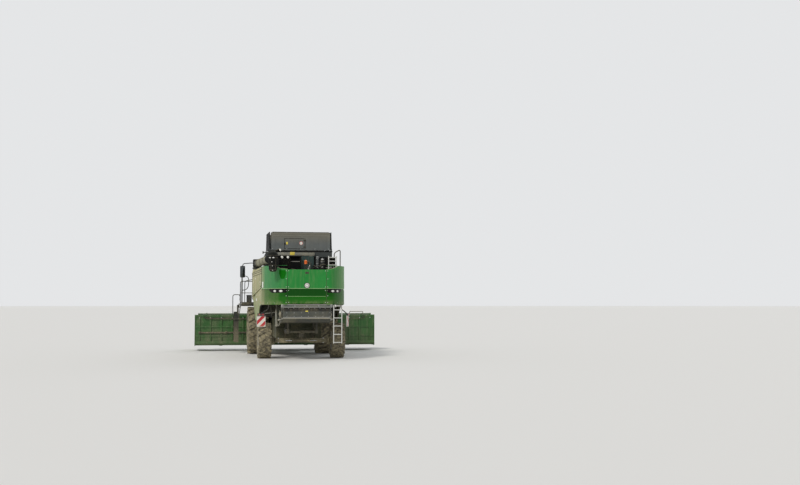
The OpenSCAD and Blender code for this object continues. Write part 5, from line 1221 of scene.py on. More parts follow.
class HARVESTER_OT_fairing(bpy.types.Operator):
    """Adds the moulded fairing round the foot of the unloading turret and the hoop beside the cab"""
    bl_idname = "harvester.fairing"
    bl_label = "Turret fairing"

    def execute(self, context):
        outer = [(-1478, -1244, 0.25), (-1606, -1242, 0.25), (-1620, -1228, 0.25), (-1624, -1160, 0.4),
            (-1624, -1090, 0.86), (-1623, -910, 0.86), (-1622, -840, 0.5), (-1600, -520, 0.4), (-1572, -200, 0.4),
            (-1548, -30, 0.4), (-1524, 36, 0.4), (-1478, 56, 0.4)]
        turns = [math.radians(d) for d in range(105, 256, 10)]
        notch = [(TURRET[0] + 152 * math.cos(t), TURRET[1] + 152 * math.sin(t)) for t in turns]
        plan = outer + [(x, y, 1) for x, y in notch]
        rows = (2012, 0.4), (2050, 0.55), (2280, 1.0), (3170, 1.0), (3300, 0)
        loft([[(-1478 + (x + 1478) * (wide or top), y, z) for x, y, top in plan] for z, wide in rows])
        made("turret_fairing", "side_paint")
        # painted shade: dark strips stand for the shade in the fairing's moulded grooves
        for z in (3160, 3090, 3010):
            strip([(-1624, -1130, z), (-1623, -800, z), (-1601, -520, z), (-1573, -200, z), (-1550, -40, z)],
                3, 10, Z)
        strip([(-1623, -1130, 2262), (-1623, -800, 2233), (-1601, -520, 2208), (-1573, -200, 2170),
            (-1550, -40, 2150)], 4, 16, Z)
        made("fairing_groove_lines", "rubber")
        # painted shade: dark strips stand for the shade in the grooves along the upper side panels
        for s, side in NAMED_SIDES:
            for z in (3210, 3140, 3060):
                line = [(y, z - (y + 4440) * 0.012 * (s < 0)) for y in (-4440, -3400, -2300, -1310)]
                strip([(wall(s, y, high) - s, y, high) for y, high in line], 3, 10, Z)
            made("groove_lines_" + side, "rubber", "side_panel_" + side)
        for x, y, low in ((-1623, -1130, 2350), (-1623, -800, 2350), (-1601, -520, 2330), (-1573, -200, 2330)):
            bolts([(x, y + 20, low), (x, y + 20, 3130)], (-1, 0, 0), 10)
        made("fairing_bolts", "light_metal")
        hose([(-1958, 124, 2515), (-1880, 118, 2520), (-1790, 116, 2560), (-1732, 114, 2650), (-1712, 112, 2780),
            (-1712, 112, 2940), (-1745, 114, 3030), (-1810, 116, 3068), (-1885, 118, 3080)], 15, 12)
        hose([(-1861, 112, 1981), (-1861, 112, 2700), (-1858, 108, 2800), (-1834, 96, 2866), (-1750, -100, 2900),
            (-1640, -500, 2915), (-1630, -800, 2918)], 14, 12)
        bar((-1960, 140, 2860), (-1960, 140, 3100), 15, 14, soft=3)
        box((-1885, 90, 1979), (-1837, 134, 1990), 3)
        made("platform_hoop", "frame_paint")
        return {"FINISHED"}


class HARVESTER_OT_wheels(bpy.types.Operator):
    """Adds hub caps, wheel nuts, weld rings and valve stems to the four wheels"""
    bl_idname = "harvester.wheels"
    bl_label = "Wheels"

    def execute(self, context):
        nut = context.scene.harvester_sizes.nut * 1000
        wheels = (("front", 1350, 0, FRONT_HUB, 150, 415, 150), ("rear", 1330, REAR_AXLE, 640, 60, 305, 100))
        for (s, side), (end, x, y, z, disc, seat, hub) in product(NAMED_SIDES, wheels):
            body = end + "_wheel_" + side
            face = s * (x - disc + 10)
            for c, d in circle(10 if end == "front" else 8, 0.2):
                bolt((face, y + c * hub * 0.86, z + d * hub * 0.86), (s, 0, 0), nut, 0.9)
            made(f"{end}_wheel_nuts_{side}", "bare_steel", body)
            bar((face - s * 4, y, z), (face + s * 46, y, z), hub * 0.62, 32, hub * 0.5, 6)
            bar((face + s * 40, y, z), (face + s * 58, y, z), hub * 0.3, 24, hub * 0.24, 4)
            ring((face, y, z), X, hub * 1.08, 5, 40, 6)
            made(f"{end}_hub_cap_{side}", "axle_paint", body)
            ring((face + s * 2, y, z), X, seat - 20, 7, 72, 6)
            ring((s * (x + (331 if end == "front" else 203)), y, z), X, seat + 4, 6, 84, 6)
            ring((face, y, z), X, seat * 0.5, 5, 56, 6)
            for c, d in circle(8, math.pi / (4 if end == "front" else 8)):
                strip([(face, y + c * far, z + d * far) for far in (seat * 0.5, seat - 24)], 5, 9, X)
            made(f"{end}_rim_ribs_{side}", "rim_paint", body)
            hose([(face + s * 20, y, z + seat - 22), (face + s * 70, y, z + seat - 34),
                (face + s * 110, y, z + seat - 40)], 5, 8)
            bar((face + s * 108, y, z + seat - 40), (face + s * 124, y, z + seat - 41), 8, 12)
            made(f"{end}_valve_{side}", "rubber", body)
        return {"FINISHED"}


class HARVESTER_OT_running_gear(bpy.types.Operator):
    """Adds pipes, clamps, drums and the steering cylinder to the axles and the frame"""
    bl_idname = "harvester.running_gear"
    bl_label = "Axles and frame"

    def execute(self, context):
        r = context.scene.harvester_sizes.pipe * 1000
        for s in SIDES:
            bar((s * 846, 0, FRONT_HUB), (s * 872, 0, FRONT_HUB), 306, 56, soft=5)
            bolts([(s * 901, c * 282, FRONT_HUB + d * 282) for c, d in circle(14)], (s, 0, 0), 14)
            for c, d in circle(4, math.pi / 4):
                y, z = c * 90, FRONT_HUB + d * 96
                box((s * 700, y - 9, z - 9), (s * 846, y + 9, z + 9), 3)
        box((-170, -150, 770), (170, 150, 1050), 40)
        bar((0, 140, 900), (0, 210, 900), 80, 28, 60, 5)
        made("gearbox_and_drums", "cast_iron")
        for y, z in ((-118, 960), (-118, 930)):
            hose([(-640, y, z), (-200, y - 10, z + 14), (200, y - 10, z + 14), (640, y, z)], r, 10)
        for s in SIDES:
            hose([(s * 470, 150, 735), (s * 466, -600, 726), (s * 466, -2600, 726), (s * 466, -3250, 960),
                (s * 466, -3700, 1080)], r, 10)
            hose([(s * 440, 150, 735), (s * 440, -600, 740), (s * 440, -2600, 740), (s * 440, -3250, 980),
                (s * 440, -3700, 1100)], r * 0.8, 10)
        made("frame_pipes", "rubber")
        for s in SIDES:
            for y in range(-2500, 0, 480):
                box((s * 470 - 34, y - 14, 716), (s * 470 + 12, y + 14, 752), 4)
            bolts([(s * 562, y, 980) for y in (-4300, -3950, -3600, -3300)], (s, 0, 0), 14)
            bolts([(s * 561, y, 660) for y in (-2900, -2400, -1900, -1400, -900, -300)], (s, 0, 0), 14)
        for s, (y, z) in product(SIDES, ((-3870, 560), (-3710, 560), (-3870, 720), (-3710, 720))):
            bolt((s * 820, y, z), (0, -1 if y < REAR_AXLE else 1, 0), 13)
        made("frame_clamps_and_bolts", "bare_steel")
        bar((-300, -3930, 640), (300, -3930, 640), 44, 28, soft=5)
        for x in (-300, 300):
            bar((x - 22, -3930, 640), (x + 22, -3930, 640), 54, 28, soft=4)
        for x in (-180, 180):
            box((x - 26, -3960, 600), (x + 26, -3868, 690), 8)
        made("steering_cylinder", "axle_paint")
        for s in SIDES:
            bar((s * 320, -3930, 640), (s * 560, -3930, 640), 18, 20, soft=2)
        made("steering_rods", "chrome_rod")
        for x in (-150, 150):
            hose([(x, -3930, 690), (x, -3945, 760), (x * 0.8, -3960, 900), (x * 0.8, -3930, 1010)], r, 10)
        for s in SIDES:
            hose([(s * 420, 190, 900), (s * 505, 240, 870), (s * 515, 300, 800), (s * 515, 330, 780)], r, 10)
        made("cylinder_pipes", "rubber")
        box((1030, -2650, 1480), (1400, -1450, 1972), 50)
        bar((1215, -2640, 1850), (1215, -2690, 1850), 55, 28, soft=6)
        for y in (-2560, -1540):
            box((1024, y - 22, 1472), (1406, y + 22, 1980), 6)
            box((838, y - 26, 1976), (1410, y + 26, 2002), 4)
        made("fuel_tank", "tank_black")
        box((-1400, -2200, 1480), (-1060, -1600, 1790), 12)
        for x in (-1330, -1150):
            bar((x, -1900, 1788), (x, -1900, 1804), 22, 18, soft=3)
        for y in (-2080, -1760):
            box((-1406, y - 20, 1788), (-838, y + 20, 1808), 4)
        hose([(-1150, -1900, 1800), (-1100, -1880, 1850), (-1000, -1860, 1880), (-900, -1850, 1850),
            (-838, -1840, 1830)], 9, 8)
        made("battery_box", "cab_plastic")
        return {"FINISHED"}


class HARVESTER_OT_tail(bpy.types.Operator):
    """Adds flaps, bolts, flanges, a label, pulleys, belts, clamps, grips, board frames, a lamp and pipes to the
    chopper, guard rail, boards and rear ladder
    """
    bl_idname = "harvester.tail"
    bl_label = "Chopper and tail"

    def execute(self, context):
        for i in range(9):
            x = -800 + i * 178
            box((x, TAIL + 66, 1600), (x + 170, TAIL + 72, 1846), 2)
        made("chopper_flaps", "rubber")
        bolts([(x * 0.97, TAIL + 30, 1900) for x in (-860, -430, 0, 430, 860)], BACK, 12)
        bolts([(x + 6, TAIL + 66, 1822) for x in range(-820, 860, 182)], BACK, 8)
        for s in SIDES:
            bolts([(s * 860, y, z) for y, z in ((-5900, 1700), (-5700, 1480), (-5500, 1350), (-5250, 1500),
                (-5200, 1800))], (s, 0, 0), 12)
        made("chopper_bolts", "bare_steel")
        box((-880, TAIL + 24, 1936), (880, TAIL + 30, 1949), 2)
        box((-880, TAIL + 22, 1852), (880, TAIL + 30, 1864), 2)
        for s in SIDES:
            box((s * 868, TAIL + 20, 1848), (s * 884, TAIL + 60, 1952), 4)
        made("tail_beam_flanges", "light_metal")
        strip([(0, TAIL + 62, 1700), (0, TAIL + 77, 1775)], 3, 46, X)
        made("tail_yellow_label", "plate_yellow", "tail_board")
        for x in range(-750, 760, 250):
            bolt((x + 60, TAIL + 56, 1660), BACK, 8)
            bolt((x + 60, TAIL + 32, 1540), BACK, 8)
        sweep([(-826, TAIL + 28, 1506), (826, TAIL + 28, 1506)], 9, 10)
        made("tail_board_edge", "bare_steel", "tail_board")
        for s in SIDES:
            bar((s * 862, -5440, 1600), (s * 912, -5440, 1600), 150, 40, soft=6)
            bar((s * 912, -5440, 1600), (s * 930, -5440, 1600), 50, 24, soft=4)
            bar((s * 862, -5140, 2050), (s * 900, -5140, 2050), 90, 32, soft=5)
        made("chopper_pulleys", "pulley_steel")
        for s, (p, q) in product(SIDES, (((-5460, 1752), (-5200, 2122)), ((-5310, 1530), (-5058, 2020)))):
            strip([(s * 888, *p), (s * 888, *q)], 16, 6, X)
        made("chopper_belts", "belt_rubber")
        for x in (-840, -400, 400, 840):
            ring((x, TAIL - 40, 1470), X, 21, 4, 24, 6)
        for s in SIDES:
            bar((s * 940, TAIL + 520, 1420), (s * 862, TAIL + 520, 1420), 30, 18, soft=3)
        made("guard_rail_clamps", "bare_steel")
        for z, x in product((620, 900, 1190, 1470, 1750), range(955, 1200, 34)):
            box((x, -6036, z + 22), (x + 16, -6014, z + 30), 2)
        for x in (930, 1215):
            ball((x, -6020, 1915), (15, 15, 8), 14)
            ball((x, -6020, 602), (15, 15, 8), 14)
        made("rear_ladder_grips", "light_metal", "rear_ladder")
        for s, turn in ((-1, 0), (1, BOARD_TURN)):
            part = bmesh.new()
            for z in (1172, 1546):
                box((-152, -12, z - 6), (152, 12, z + 6), 2, bm=part)
            for x in (-150, 150):
                box((x - 5, -12, 1168), (x + 5, 12, 1552), 2, bm=part)
            bolts([(x, -10, z) for x, z in ((-130, 1190), (130, 1190), (-130, 1528), (130, 1528))], BACK, 8, bm=part)
            swing = Matrix.Translation(at(s * 1530, TAIL + 800, 0)) @ Matrix.Rotation(turn, 4, "Z")
            bmesh.ops.transform(part, matrix=swing @ Matrix.Translation(-at(0, 0, 0)), verts=part.verts)
            add_part(part)
        made("board_frames", "light_metal")
        ringed = bmesh.new()
        bar((990, TAIL + 60, 1898), (990, TAIL + 26, 1898), 46, 28, 42, 3)
        ball((990, TAIL + 24, 1898), (42, 14, 42), 24, bm=ringed)
        made("reversing_lamp_body", "frame_paint")
        made("reversing_lamp_lens", "lens_white", bm=ringed)
        for x, y0, z0, z1 in ((-1190, -5300, 1480, 1950), (-1030, -5250, 1380, 1950)):
            hose([(x, y0, z1), (x, y0 - 20, (z0 + z1) / 2), (x + 40, y0 - 40, z0)], 15, 10)
        made("tail_pipes", "rubber")
        hose([(-985, -5200, 1945), (-985, -5210, 1500), (-975, -5220, 1290), (-930, -5230, 1210), (-884, -5230, 1300),
            (-850, -5230, 1440)], 26, 14)
        sweep([(-1440, -5206, 1628), (-1150, -5206, 1664), (-858, -5206, 1690)], 13, 10)
        bar((-1018, -5390, 1660), (-1008, -5400, 1180), 34, 20, soft=5)
        for z in (1640, 1420, 1200):
            bar((-1017, -5391, z), (-1017, -5391, z + 24), 41, 20, soft=3)
        hose([(-1018, -5390, 1655), (-1010, -5340, 1760), (-960, -5260, 1850), (-900, -5200, 1880)], 30, 14)
        made("tail_steel_pipes", "dull_metal")
        return {"FINISHED"}


class HARVESTER_OT_platform(bpy.types.Operator):
    """Adds toe boards, clamps, grips and the ribbed box to the platform and its ladder"""
    bl_idname = "harvester.platform"
    bl_label = "Platform and ladder"

    def execute(self, context):
        strip([(-1976, 110, 2010), (-1976, 880, 2010)], 4, 30, Z)
        strip([(-1970, 1816, 2010), (-905, 1816, 2010)], 4, 30, Z)
        strip([(-1970, 104, 2010), (-905, 104, 2010)], 4, 30, Z)
        for y in (300, 900, 1500):
            box((-1975, y - 25, 1880), (-905, y + 25, 1942), 5)
        made("platform_toe_boards", "frame_paint")
        for x, y, z in ((-1960, 140, 2500), (-1960, 560, 2500), (-1960, 1795, 2420), (-1200, 1795, 2420)):
            ring((x, y, z), Z, 18, 4, 20, 6)
        for x, y in ((-1960, 140), (-1960, 560), (-1960, 1795), (-1200, 1795)):
            bar((x, y, 1980), (x, y, 1992), 34, 20, soft=2)
            for dx, dy in ((24, 0), (-24, 0)):
                bar((x + dx, y + dy, 1990), (x + dx, y + dy, 1998), 6, 6)
        made("rail_feet_and_clamps", "bare_steel")
        for z in range(2010, 2300, 34):
            box((-1776, 246, z), (-1574, 504, z + 16), 4)
        box((-1780, 242, 2296), (-1570, 508, 2326), 8)
        box((-1700, 238, 2200), (-1650, 246, 2260), 4)
        made("ribbed_box", "cab_plastic")
        for z, y in product((450, 740, 1030, 1320, 1610), range(985, 1430, 44)):
            box((-2246, y, z + 29), (-2070, y + 16, z + 36), 2)
        made("step_grips", "frame_paint", "cab_ladder")
        for y in (960, 1440):
            sweep([(-2085, y - 18, 1700), (-2085, y - 18, 1900)], 12, 10)
        made("ladder_hand_grips", "rubber", "cab_ladder")
        for z in (2120, 2280):
            bar((-2012, 900, z), (-2012, 900, z + 80), 19, 16, soft=3)
        made("rail_grips", "rubber")
        bar((-1380, 420, 2010), (-1380, 420, 2290), 62, 28, soft=6)
        box((-1440, 340, 1982), (-1320, 500, 2012), 4)
        made("water_can", "cab_plastic")
        return {"FINISHED"}


class HARVESTER_OT_cab(bpy.types.Operator):
    """Adds seals, handles, wipers, mirror faces, roof fittings and the driver's controls"""
    bl_idname = "harvester.cab"
    bl_label = "Cab"

    def execute(self, context):
        floor, rear, front = 2000, 60, 1880
        win = [(rear + 700, floor + 520), (rear + 700, 3480), (front - 260, 3480), (front - 210, floor + 700),
            (front - 280, floor + 520)]
        strip([(-903, y, z) for y, z in win + win[:1]], 4, 12, X)
        made("door_window_seal", "rubber", "cab_door")
        right = [(rear + 620, floor + 520), (rear + 620, 3480), (front - 200, 3480), (front - 150, floor + 700),
            (front - 230, floor + 520)]
        strip([(903, y, z) for y, z in right + right[:1]], 4, 12, X)
        small = [(rear + 90, floor + 700), (rear + 90, 3480), (rear + 540, 3480), (rear + 540, floor + 700)]
        for s in SIDES:
            strip([(s * 903, y, z) for y, z in small + small[:1]], 4, 12, X)
        back = [(-780, 2900), (-780, 3480), (780, 3480), (780, 2900)]
        strip([(x, 57, z) for x, z in back + back[:1]], 4, 12, Y)
        low = [(-800, front - 176, 2136), (-800, front - 8, 2700), (-800, front - 58, 3482)]
        strip(low + [(-x, y, z) for x, y, z in reversed(low)], 12, 5, (0, 1, 0.1))
        made("window_seals", "rubber")
        box((-914, 1330, 2395), (-898, 1600, 2465), 6)
        sweep([(-900, 1350, 2430), (-942, 1370, 2430), (-942, 1560, 2430), (-900, 1580, 2430)], 10, 10)
        made("door_handle", "cab_plastic", "cab_door")
        sweep([(0, 1896, 2190), (-60, 1910, 2500), (-140, 1900, 3000)], 9, 8)
        strip([(-130, 1893, 2560), (-155, 1878, 3300)], 10, 5, (0, 1, 0.1))
        bar((0, 1850, 2180), (0, 1905, 2190), 26, 20, soft=4)
        made("front_wiper", "rubber")
        for s in SIDES:
            x = s * 1885
            box((x - 84, 1578, 3066), (x + 84, 1588, 3514), 14)
        made("mirror_faces", "mirror_glass")
        for s in SIDES:
            x = s * 1885
            sweep([(x - 92, 1584, 3070), (x - 92, 1584, 3512), (x + 92, 1584, 3512), (x + 92, 1584, 3070),
                (x - 92, 1584, 3070)], 7, 8)
            bar((s * 1880, 1610, 3380), (s * 1880, 1610, 3470), 26, 20, soft=4)
        made("mirror_rims", "tank_black")
        for s in SIDES:
            x = s * 990
            box((x - 30, 1690, 3630), (x + 30, 1750, 3680), 8)
            ring((s * 1060, 1720, 3655), X, 20, 4, 20, 6)
        box((-420, 700, 3838), (420, 1300, 3850), 20)
        for y in range(740, 1280, 44):
            box((-380, y, 3846), (380, y + 20, 3862), 5)
        made("roof_vent", "cab_plastic")
        for s in SIDES:
            bar((s * 800, 300, 3780), (s * 800, 300, 3830), 30, 24, soft=4)
            ball((s * 800, 300, 3880), (46, 46, 62), 24)
        made("roof_beacons", "lens_amber")
        sweep([(300, 250, 3830), (300, 245, 4200), (300, 240, 4380)], 5, 8)
        bar((300, 250, 3790), (300, 250, 3850), 20, 16, soft=3)
        made("roof_aerial", "rubber")
        box((360, 900, 2700), (380, 1120, 2900), 10)
        sweep([(370, 1000, 2700), (370, 980, 2660), (370, 960, 2640)], 14, 10)
        for y, h in ((880, 150), (800, 90), (720, 70)):
            sweep([(350, y, 2640), (350, y + 10, 2640 + h)], 8, 8)
            ball((350, y + 12, 2650 + h), (24, 24, 30), 16)
        for x in (-150, -40, 150):
            box((x - 35, 1560, 2120), (x + 35, 1580, 2220), 6)
            sweep([(x, 1575, 2130), (x, 1620, 2090), (x, 1660, 2068)], 9, 8)
        made("driver_controls", "cab_plastic")
        box((357, 905, 2712), (361, 1115, 2888), 2)
        made("screen_face", "mirror_glass")
        box((-840, 260, 2061), (840, 1640, 2068), 3)
        made("cab_floor_mat", "rubber")
        for s in SIDES:
            bolts([(s * 900, y, 2040) for y in (300, 700, 1100, 1500)], (s, 0, 0), 12)
        for x in range(-800, 801, 200):
            bolt((x, 60, 2040), BACK, 10)
            bolt((x, 60, 3560), BACK, 10)
        made("cab_bolts", "light_metal")
        bm = work()
        for x in (-320, 308):
            box((x, 44, 2260), (x + 12, 64, 2720), 3)
        for z in range(2270, 2710, 36):
            v = box((-312, 46, z), (312, 52, z + 26))
            bmesh.ops.rotate(bm, verts=v, cent=at(0, 49, z), matrix=Matrix.Rotation(-0.5, 3, "X"))
        box((-318, 55, 2262), (318, 64, 2718), 1)
        made("cab_rear_vent", "cab_plastic")
        for s in SIDES:
            strip([(s * 908, 90, 3578), (s * 908, 1790, 3578)], 9, 7, Z)
            for y in (500, 1330):
                box((s * 900, y - 24, 2090), (s * 912, y + 24, 2180), 4)
        made("cab_gutters", "cab_paint")
        for s in SIDES:
            sweep([(s * 905, 110, 2450), (s * 960, 110, 2470), (s * 960, 110, 3250), (s * 905, 110, 3270)], 13, 10)
        made("cab_grab_rails", "frame_paint")
        return {"FINISHED"}


class HARVESTER_OT_seat(bpy.types.Operator):
    """Makes the driver's seat: padded cushions on a suspension base"""
    bl_idname = "harvester.seat"
    bl_label = "Driver's seat"

    def cushion(self, name, lo, hi, lean=0.0, cap=0.012):
        """Pad blown up by a short cloth simulation from a slightly smaller closed form."""
        scene = bpy.context.scene
        bm = bmesh.new()
        box([v + 9 for v in lo], [v - 9 for v in hi], 16, bm=bm)
        low = at(*lo)
        bmesh.ops.rotate(bm, verts=bm.verts, cent=Vector((0, (low.y + at(*hi).y) / 2, low.z)),
            matrix=Matrix.Rotation(lean, 3, "X"))
        mesh = bpy.data.meshes.new("pad")
        bm.to_mesh(mesh)
        bm.free()
        pad = bpy.data.objects.new("pad", mesh)
        scene.collection.objects.link(pad)
        grid = pad.modifiers.new("Grid", "REMESH")
        grid.mode, grid.voxel_size = "VOXEL", 0.008
        full = bpy.data.meshes.new_from_object(pad.evaluated_get(bpy.context.evaluated_depsgraph_get()))
        pad.modifiers.clear()
        pad.data = full
        start = [v.co.copy() for v in full.vertices]
        air = pad.modifiers.new("Air", "CLOTH")
        air.settings.quality = 5
        air.settings.use_pressure = True
        air.settings.uniform_pressure_force = 4
        air.settings.effector_weights.gravity = 0
        air.collision_settings.use_collision = False
        air.point_cache.frame_start, air.point_cache.frame_end = 1, 20
        for i in range(1, 21):
            scene.frame_set(i)
        blown = bpy.data.meshes.new_from_object(pad.evaluated_get(bpy.context.evaluated_depsgraph_get()))
        pad.modifiers.clear()
        for v, old, new in zip(full.vertices, start, blown.vertices):
            move = new.co - old
            v.co = old + (move if move.length < cap else move.normalized() * cap)
        bpy.data.meshes.remove(blown)
        bm = bmesh.new()
        bm.from_mesh(full)
        bpy.data.objects.remove(pad)
        piece = made(name, "seat_cloth", angle=180, bm=bm)
        m = piece.modifiers.new("Round", "SUBSURF")
        m.levels = m.render_levels = 1
        return piece

    def execute(self, context):
        y = 680
        self.cushion("seat_cushion", (-205, y - 215, 2425), (205, y + 255, 2528))
        self.cushion("seat_back", (-200, y - 262, 2515), (200, y - 172, 3020), 0.12)
        self.cushion("seat_headrest", (-125, y - 322, 3045), (125, y - 250, 3175), 0.12, 0.009)
        for s, side in NAMED_SIDES:
            self.cushion("seat_bolster_" + side, (min(s * 208, s * 252), y - 200, 2432),
                (max(s * 208, s * 252), y + 240, 2552), 0, 0.006)
            self.cushion("seat_wing_" + side, (min(s * 203, s * 243), y - 252, 2560),
                (max(s * 203, s * 243), y - 150, 2960), 0.12, 0.006)
        context.scene.frame_set(1)
        for s in SIDES:
            sweep([(s * 206, y - 190, 2534), (s * 206, y + 230, 2536)], 4, 6)
            sweep([(s * 201, y - 236, 2560), (s * 201, y - 286, 2990)], 4, 6)
        for z in (2640, 2760, 2880):
            sweep([(-190, y - 170 - (z - 2515) * 0.12, z), (190, y - 170 - (z - 2515) * 0.12, z)], 3.5, 6)
        made("seat_piping", "rubber")
        box((-200, y - 190, 2385), (200, y + 200, 2424), 10)
        box((-150, y - 150, 2061), (150, y + 150, 2085), 6)
        for s in SIDES:
            for a, b in (((s * 120, y - 130, 2090), (s * 120, y + 130, 2385)),
                    ((s * 120, y + 130, 2090), (s * 120, y - 130, 2385))):
                strip([a, b], 8, 14, X)
        for z in range(2110, 2380, 30):
            ring((0, y, z), Z, 62, 11, 28, 6)
        for s in SIDES:
            box((s * 258 - 24, y - 180, 2640), (s * 258 + 24, y + 110, 2672), 10)
            box((s * 258 - 10, y - 190, 2480), (s * 258 + 10, y - 150, 2645), 5)
        base = made("seat_base", "cab_plastic")
        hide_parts("cab_chair")
        return {"FINISHED"}


class HARVESTER_OT_header(bpy.types.Operator):
    """Adds ribs, tube clamps, drive, pipes, shoes and divider rails to the header and the feeder"""
    bl_idname = "harvester.header"
    bl_label = "Header and feeder"

    def execute(self, context):
        y = 2780
        for x in range(-3600, 3601, 450):
            if abs(x) < 760:
                continue
            box((x - 28, y - 44, 330), (x + 28, y + 2, 1432), 6)
        for z, s in product((620, 1000), SIDES):
            box((s * 745, y - 30, z - 26), (s * 3760, y + 2, z + 26), 6)
        made("header_back_ribs", "header_paint", "header")
        sweep([(2720, y - 14, 1400), (2720, y - 14, 1622), (2742, y - 14, 1644), (3278, y - 14, 1644),
            (3300, y - 14, 1622), (3300, y - 14, 1400)], 15, 10)
        made("header_guard_rail", "dull_metal", "header")
        for x, z in product(range(-3600, 3601, 450), (380, 1380)):
            if abs(x) > 760:
                bolt((x, y - 44, z), BACK, 14)
        for s in SIDES:
            bolts([(s * 3785, yy, z) for yy, z in ((2840, 1400), (2900, 900), (3100, 400), (3700, 300), (3900, 700),
                (3300, 1050))], (s, 0, 0), 14)
        made("header_bolts", "bare_steel", "header")
        for x in (-3300, -1100, 1100, 3300):
            box((x - 60, y - 40, 1420), (x + 60, y + 100, 1436), 4)
            bolts([(x + s * 42, y - 32, 1470) for s in SIDES], BACK, 12)
        for s in SIDES:
            box((s * 705, y - 60, 340), (s * 745, y - 2, 1300), 6)
        box((-700, y - 62, 1150), (700, y - 4, 1230), 8)
        made("coupling_frame", "frame_paint", "header")
        for dz in (0, 34, 68):
            hose([(-760, y - 60, 1260 + dz * 0.5), (-1100, y - 64, 1310 + dz * 0.4), (-2200, y - 60, 1330 + dz * 0.4),
                (-3300, y - 60, 1350 + dz * 0.4), (-3420, y - 50, 1460)], 10, 8)
        hose([(760, y - 60, 1280), (1500, y - 62, 1320), (3200, y - 60, 1340), (3340, y - 40, 1470)], 10, 8)
        made("header_pipes", "rubber", "header")
        bar((-3640, y - 40, 760), (-800, y - 50, 760), 34, 20, soft=3)
        for x in (-3600, -2500, -1400, -850):
            bar((x - 40, y - 45, 760), (x + 40, y - 45, 760), 54, 24, soft=6)
            box((x - 14, y - 60, 700), (x + 14, y, 780), 4)
        made("header_drive_shaft", "rubber", "header")
        for s in SIDES:
            pts = [(s * 3770, 3000, 1170), (s * 3770, 3400, 1040), (s * 3770, 4000, 740), (s * 3760, 4420, 560),
                (s * 3750, 4900, 330), (s * 3745, 5060, 270)]
            hose(pts, 17, 10)
        made("divider_rails", "light_metal", "header")
        bolts([(x + 40, 4120, 262) for x in range(-3640, 3641, 152)], Z, 9)
        for x in range(-3650, 3651, 304):
            box((x - 22, 4070, 256), (x + 22, 4170, 272), 4)
        made("knife_clips", "bare_steel", "header")
        for x in (-2700, -900, 900, 2700):
            strip([(x - 70, 3080, 232), (x - 70, 3500, 206), (x - 70, 3880, 206), (x - 70, 3990, 232)], 5, 8, Z)
            strip([(x + 70, 3080, 232), (x + 70, 3500, 206), (x + 70, 3880, 206), (x + 70, 3990, 232)], 5, 8, Z)
        made("skid_edges", "bare_steel", "header")
        for s in SIDES:
            for t in (0.15, 0.5, 0.85):
                p = Vector((s * 701, 1250 + t * 1480, 1830 - t * 820))
                box((s * 700, p.y - 24, p.z - 560 + t * 80), (s * 716, p.y + 24, p.z - 20), 5)
            bar((s * 700, 1060, 1700), (s * 742, 1060, 1700), 110, 36, soft=5)
            bar((s * 700, 2520, 760), (s * 742, 2520, 760), 90, 36, soft=5)
        made("feeder_ribs", "header_paint", "header")
        for dz in (105, -105):
            strip([(-730, 1074, 1700 + dz), (-730, 2534, 760 + dz * 0.82)], 7, 5, X)
        made("feeder_chain", "bare_steel", "header")
        for x in (-460, 0, 460):
            strip([(x, 1560, 1739), (x, 2720, 1075)], 18, 8, X)
        made("feeder_top_ribs", "header_paint", "header")
        for s in SIDES:
            bar((s * 3560, 4090, 1060), (s * 3574, 4090, 1060), 120, 36, soft=3)
            bolts([(s * 3576, 4090 + c * 90, 1060 + d * 90) for c, d in circle(6)], (s, 0, 0), 10)
        made("reel_end_plates", "header_paint", "reel")
        for s in SIDES:
            x = s * 3642
            hose([(x, 3080, 1490), (x, 3600, 1290), (x, 4000, 1120)], 9, 8)
            for t in (0.15, 0.45, 0.8):
                p = Vector((x, 2910, 1540)).lerp(Vector((x, 4090, 1060)), t)
                bolt((p.x - s * 3, p.y, p.z), (s, 0, 0), 12)
        made("reel_arm_pipes", "rubber", "reel_arms")
        for x in (-3500, -1800, 1800, 3500):
            ring((x, 3250, 640), X, 203, 5, 48, 6)
        for x in (-560, -320, -80, 160, 400):
            box((x - 40, 3250 - 40, 836), (x + 40, 3250 + 40, 846), 4)
        made("auger_bands", "header_paint", "cross_auger")
        return {"FINISHED"}


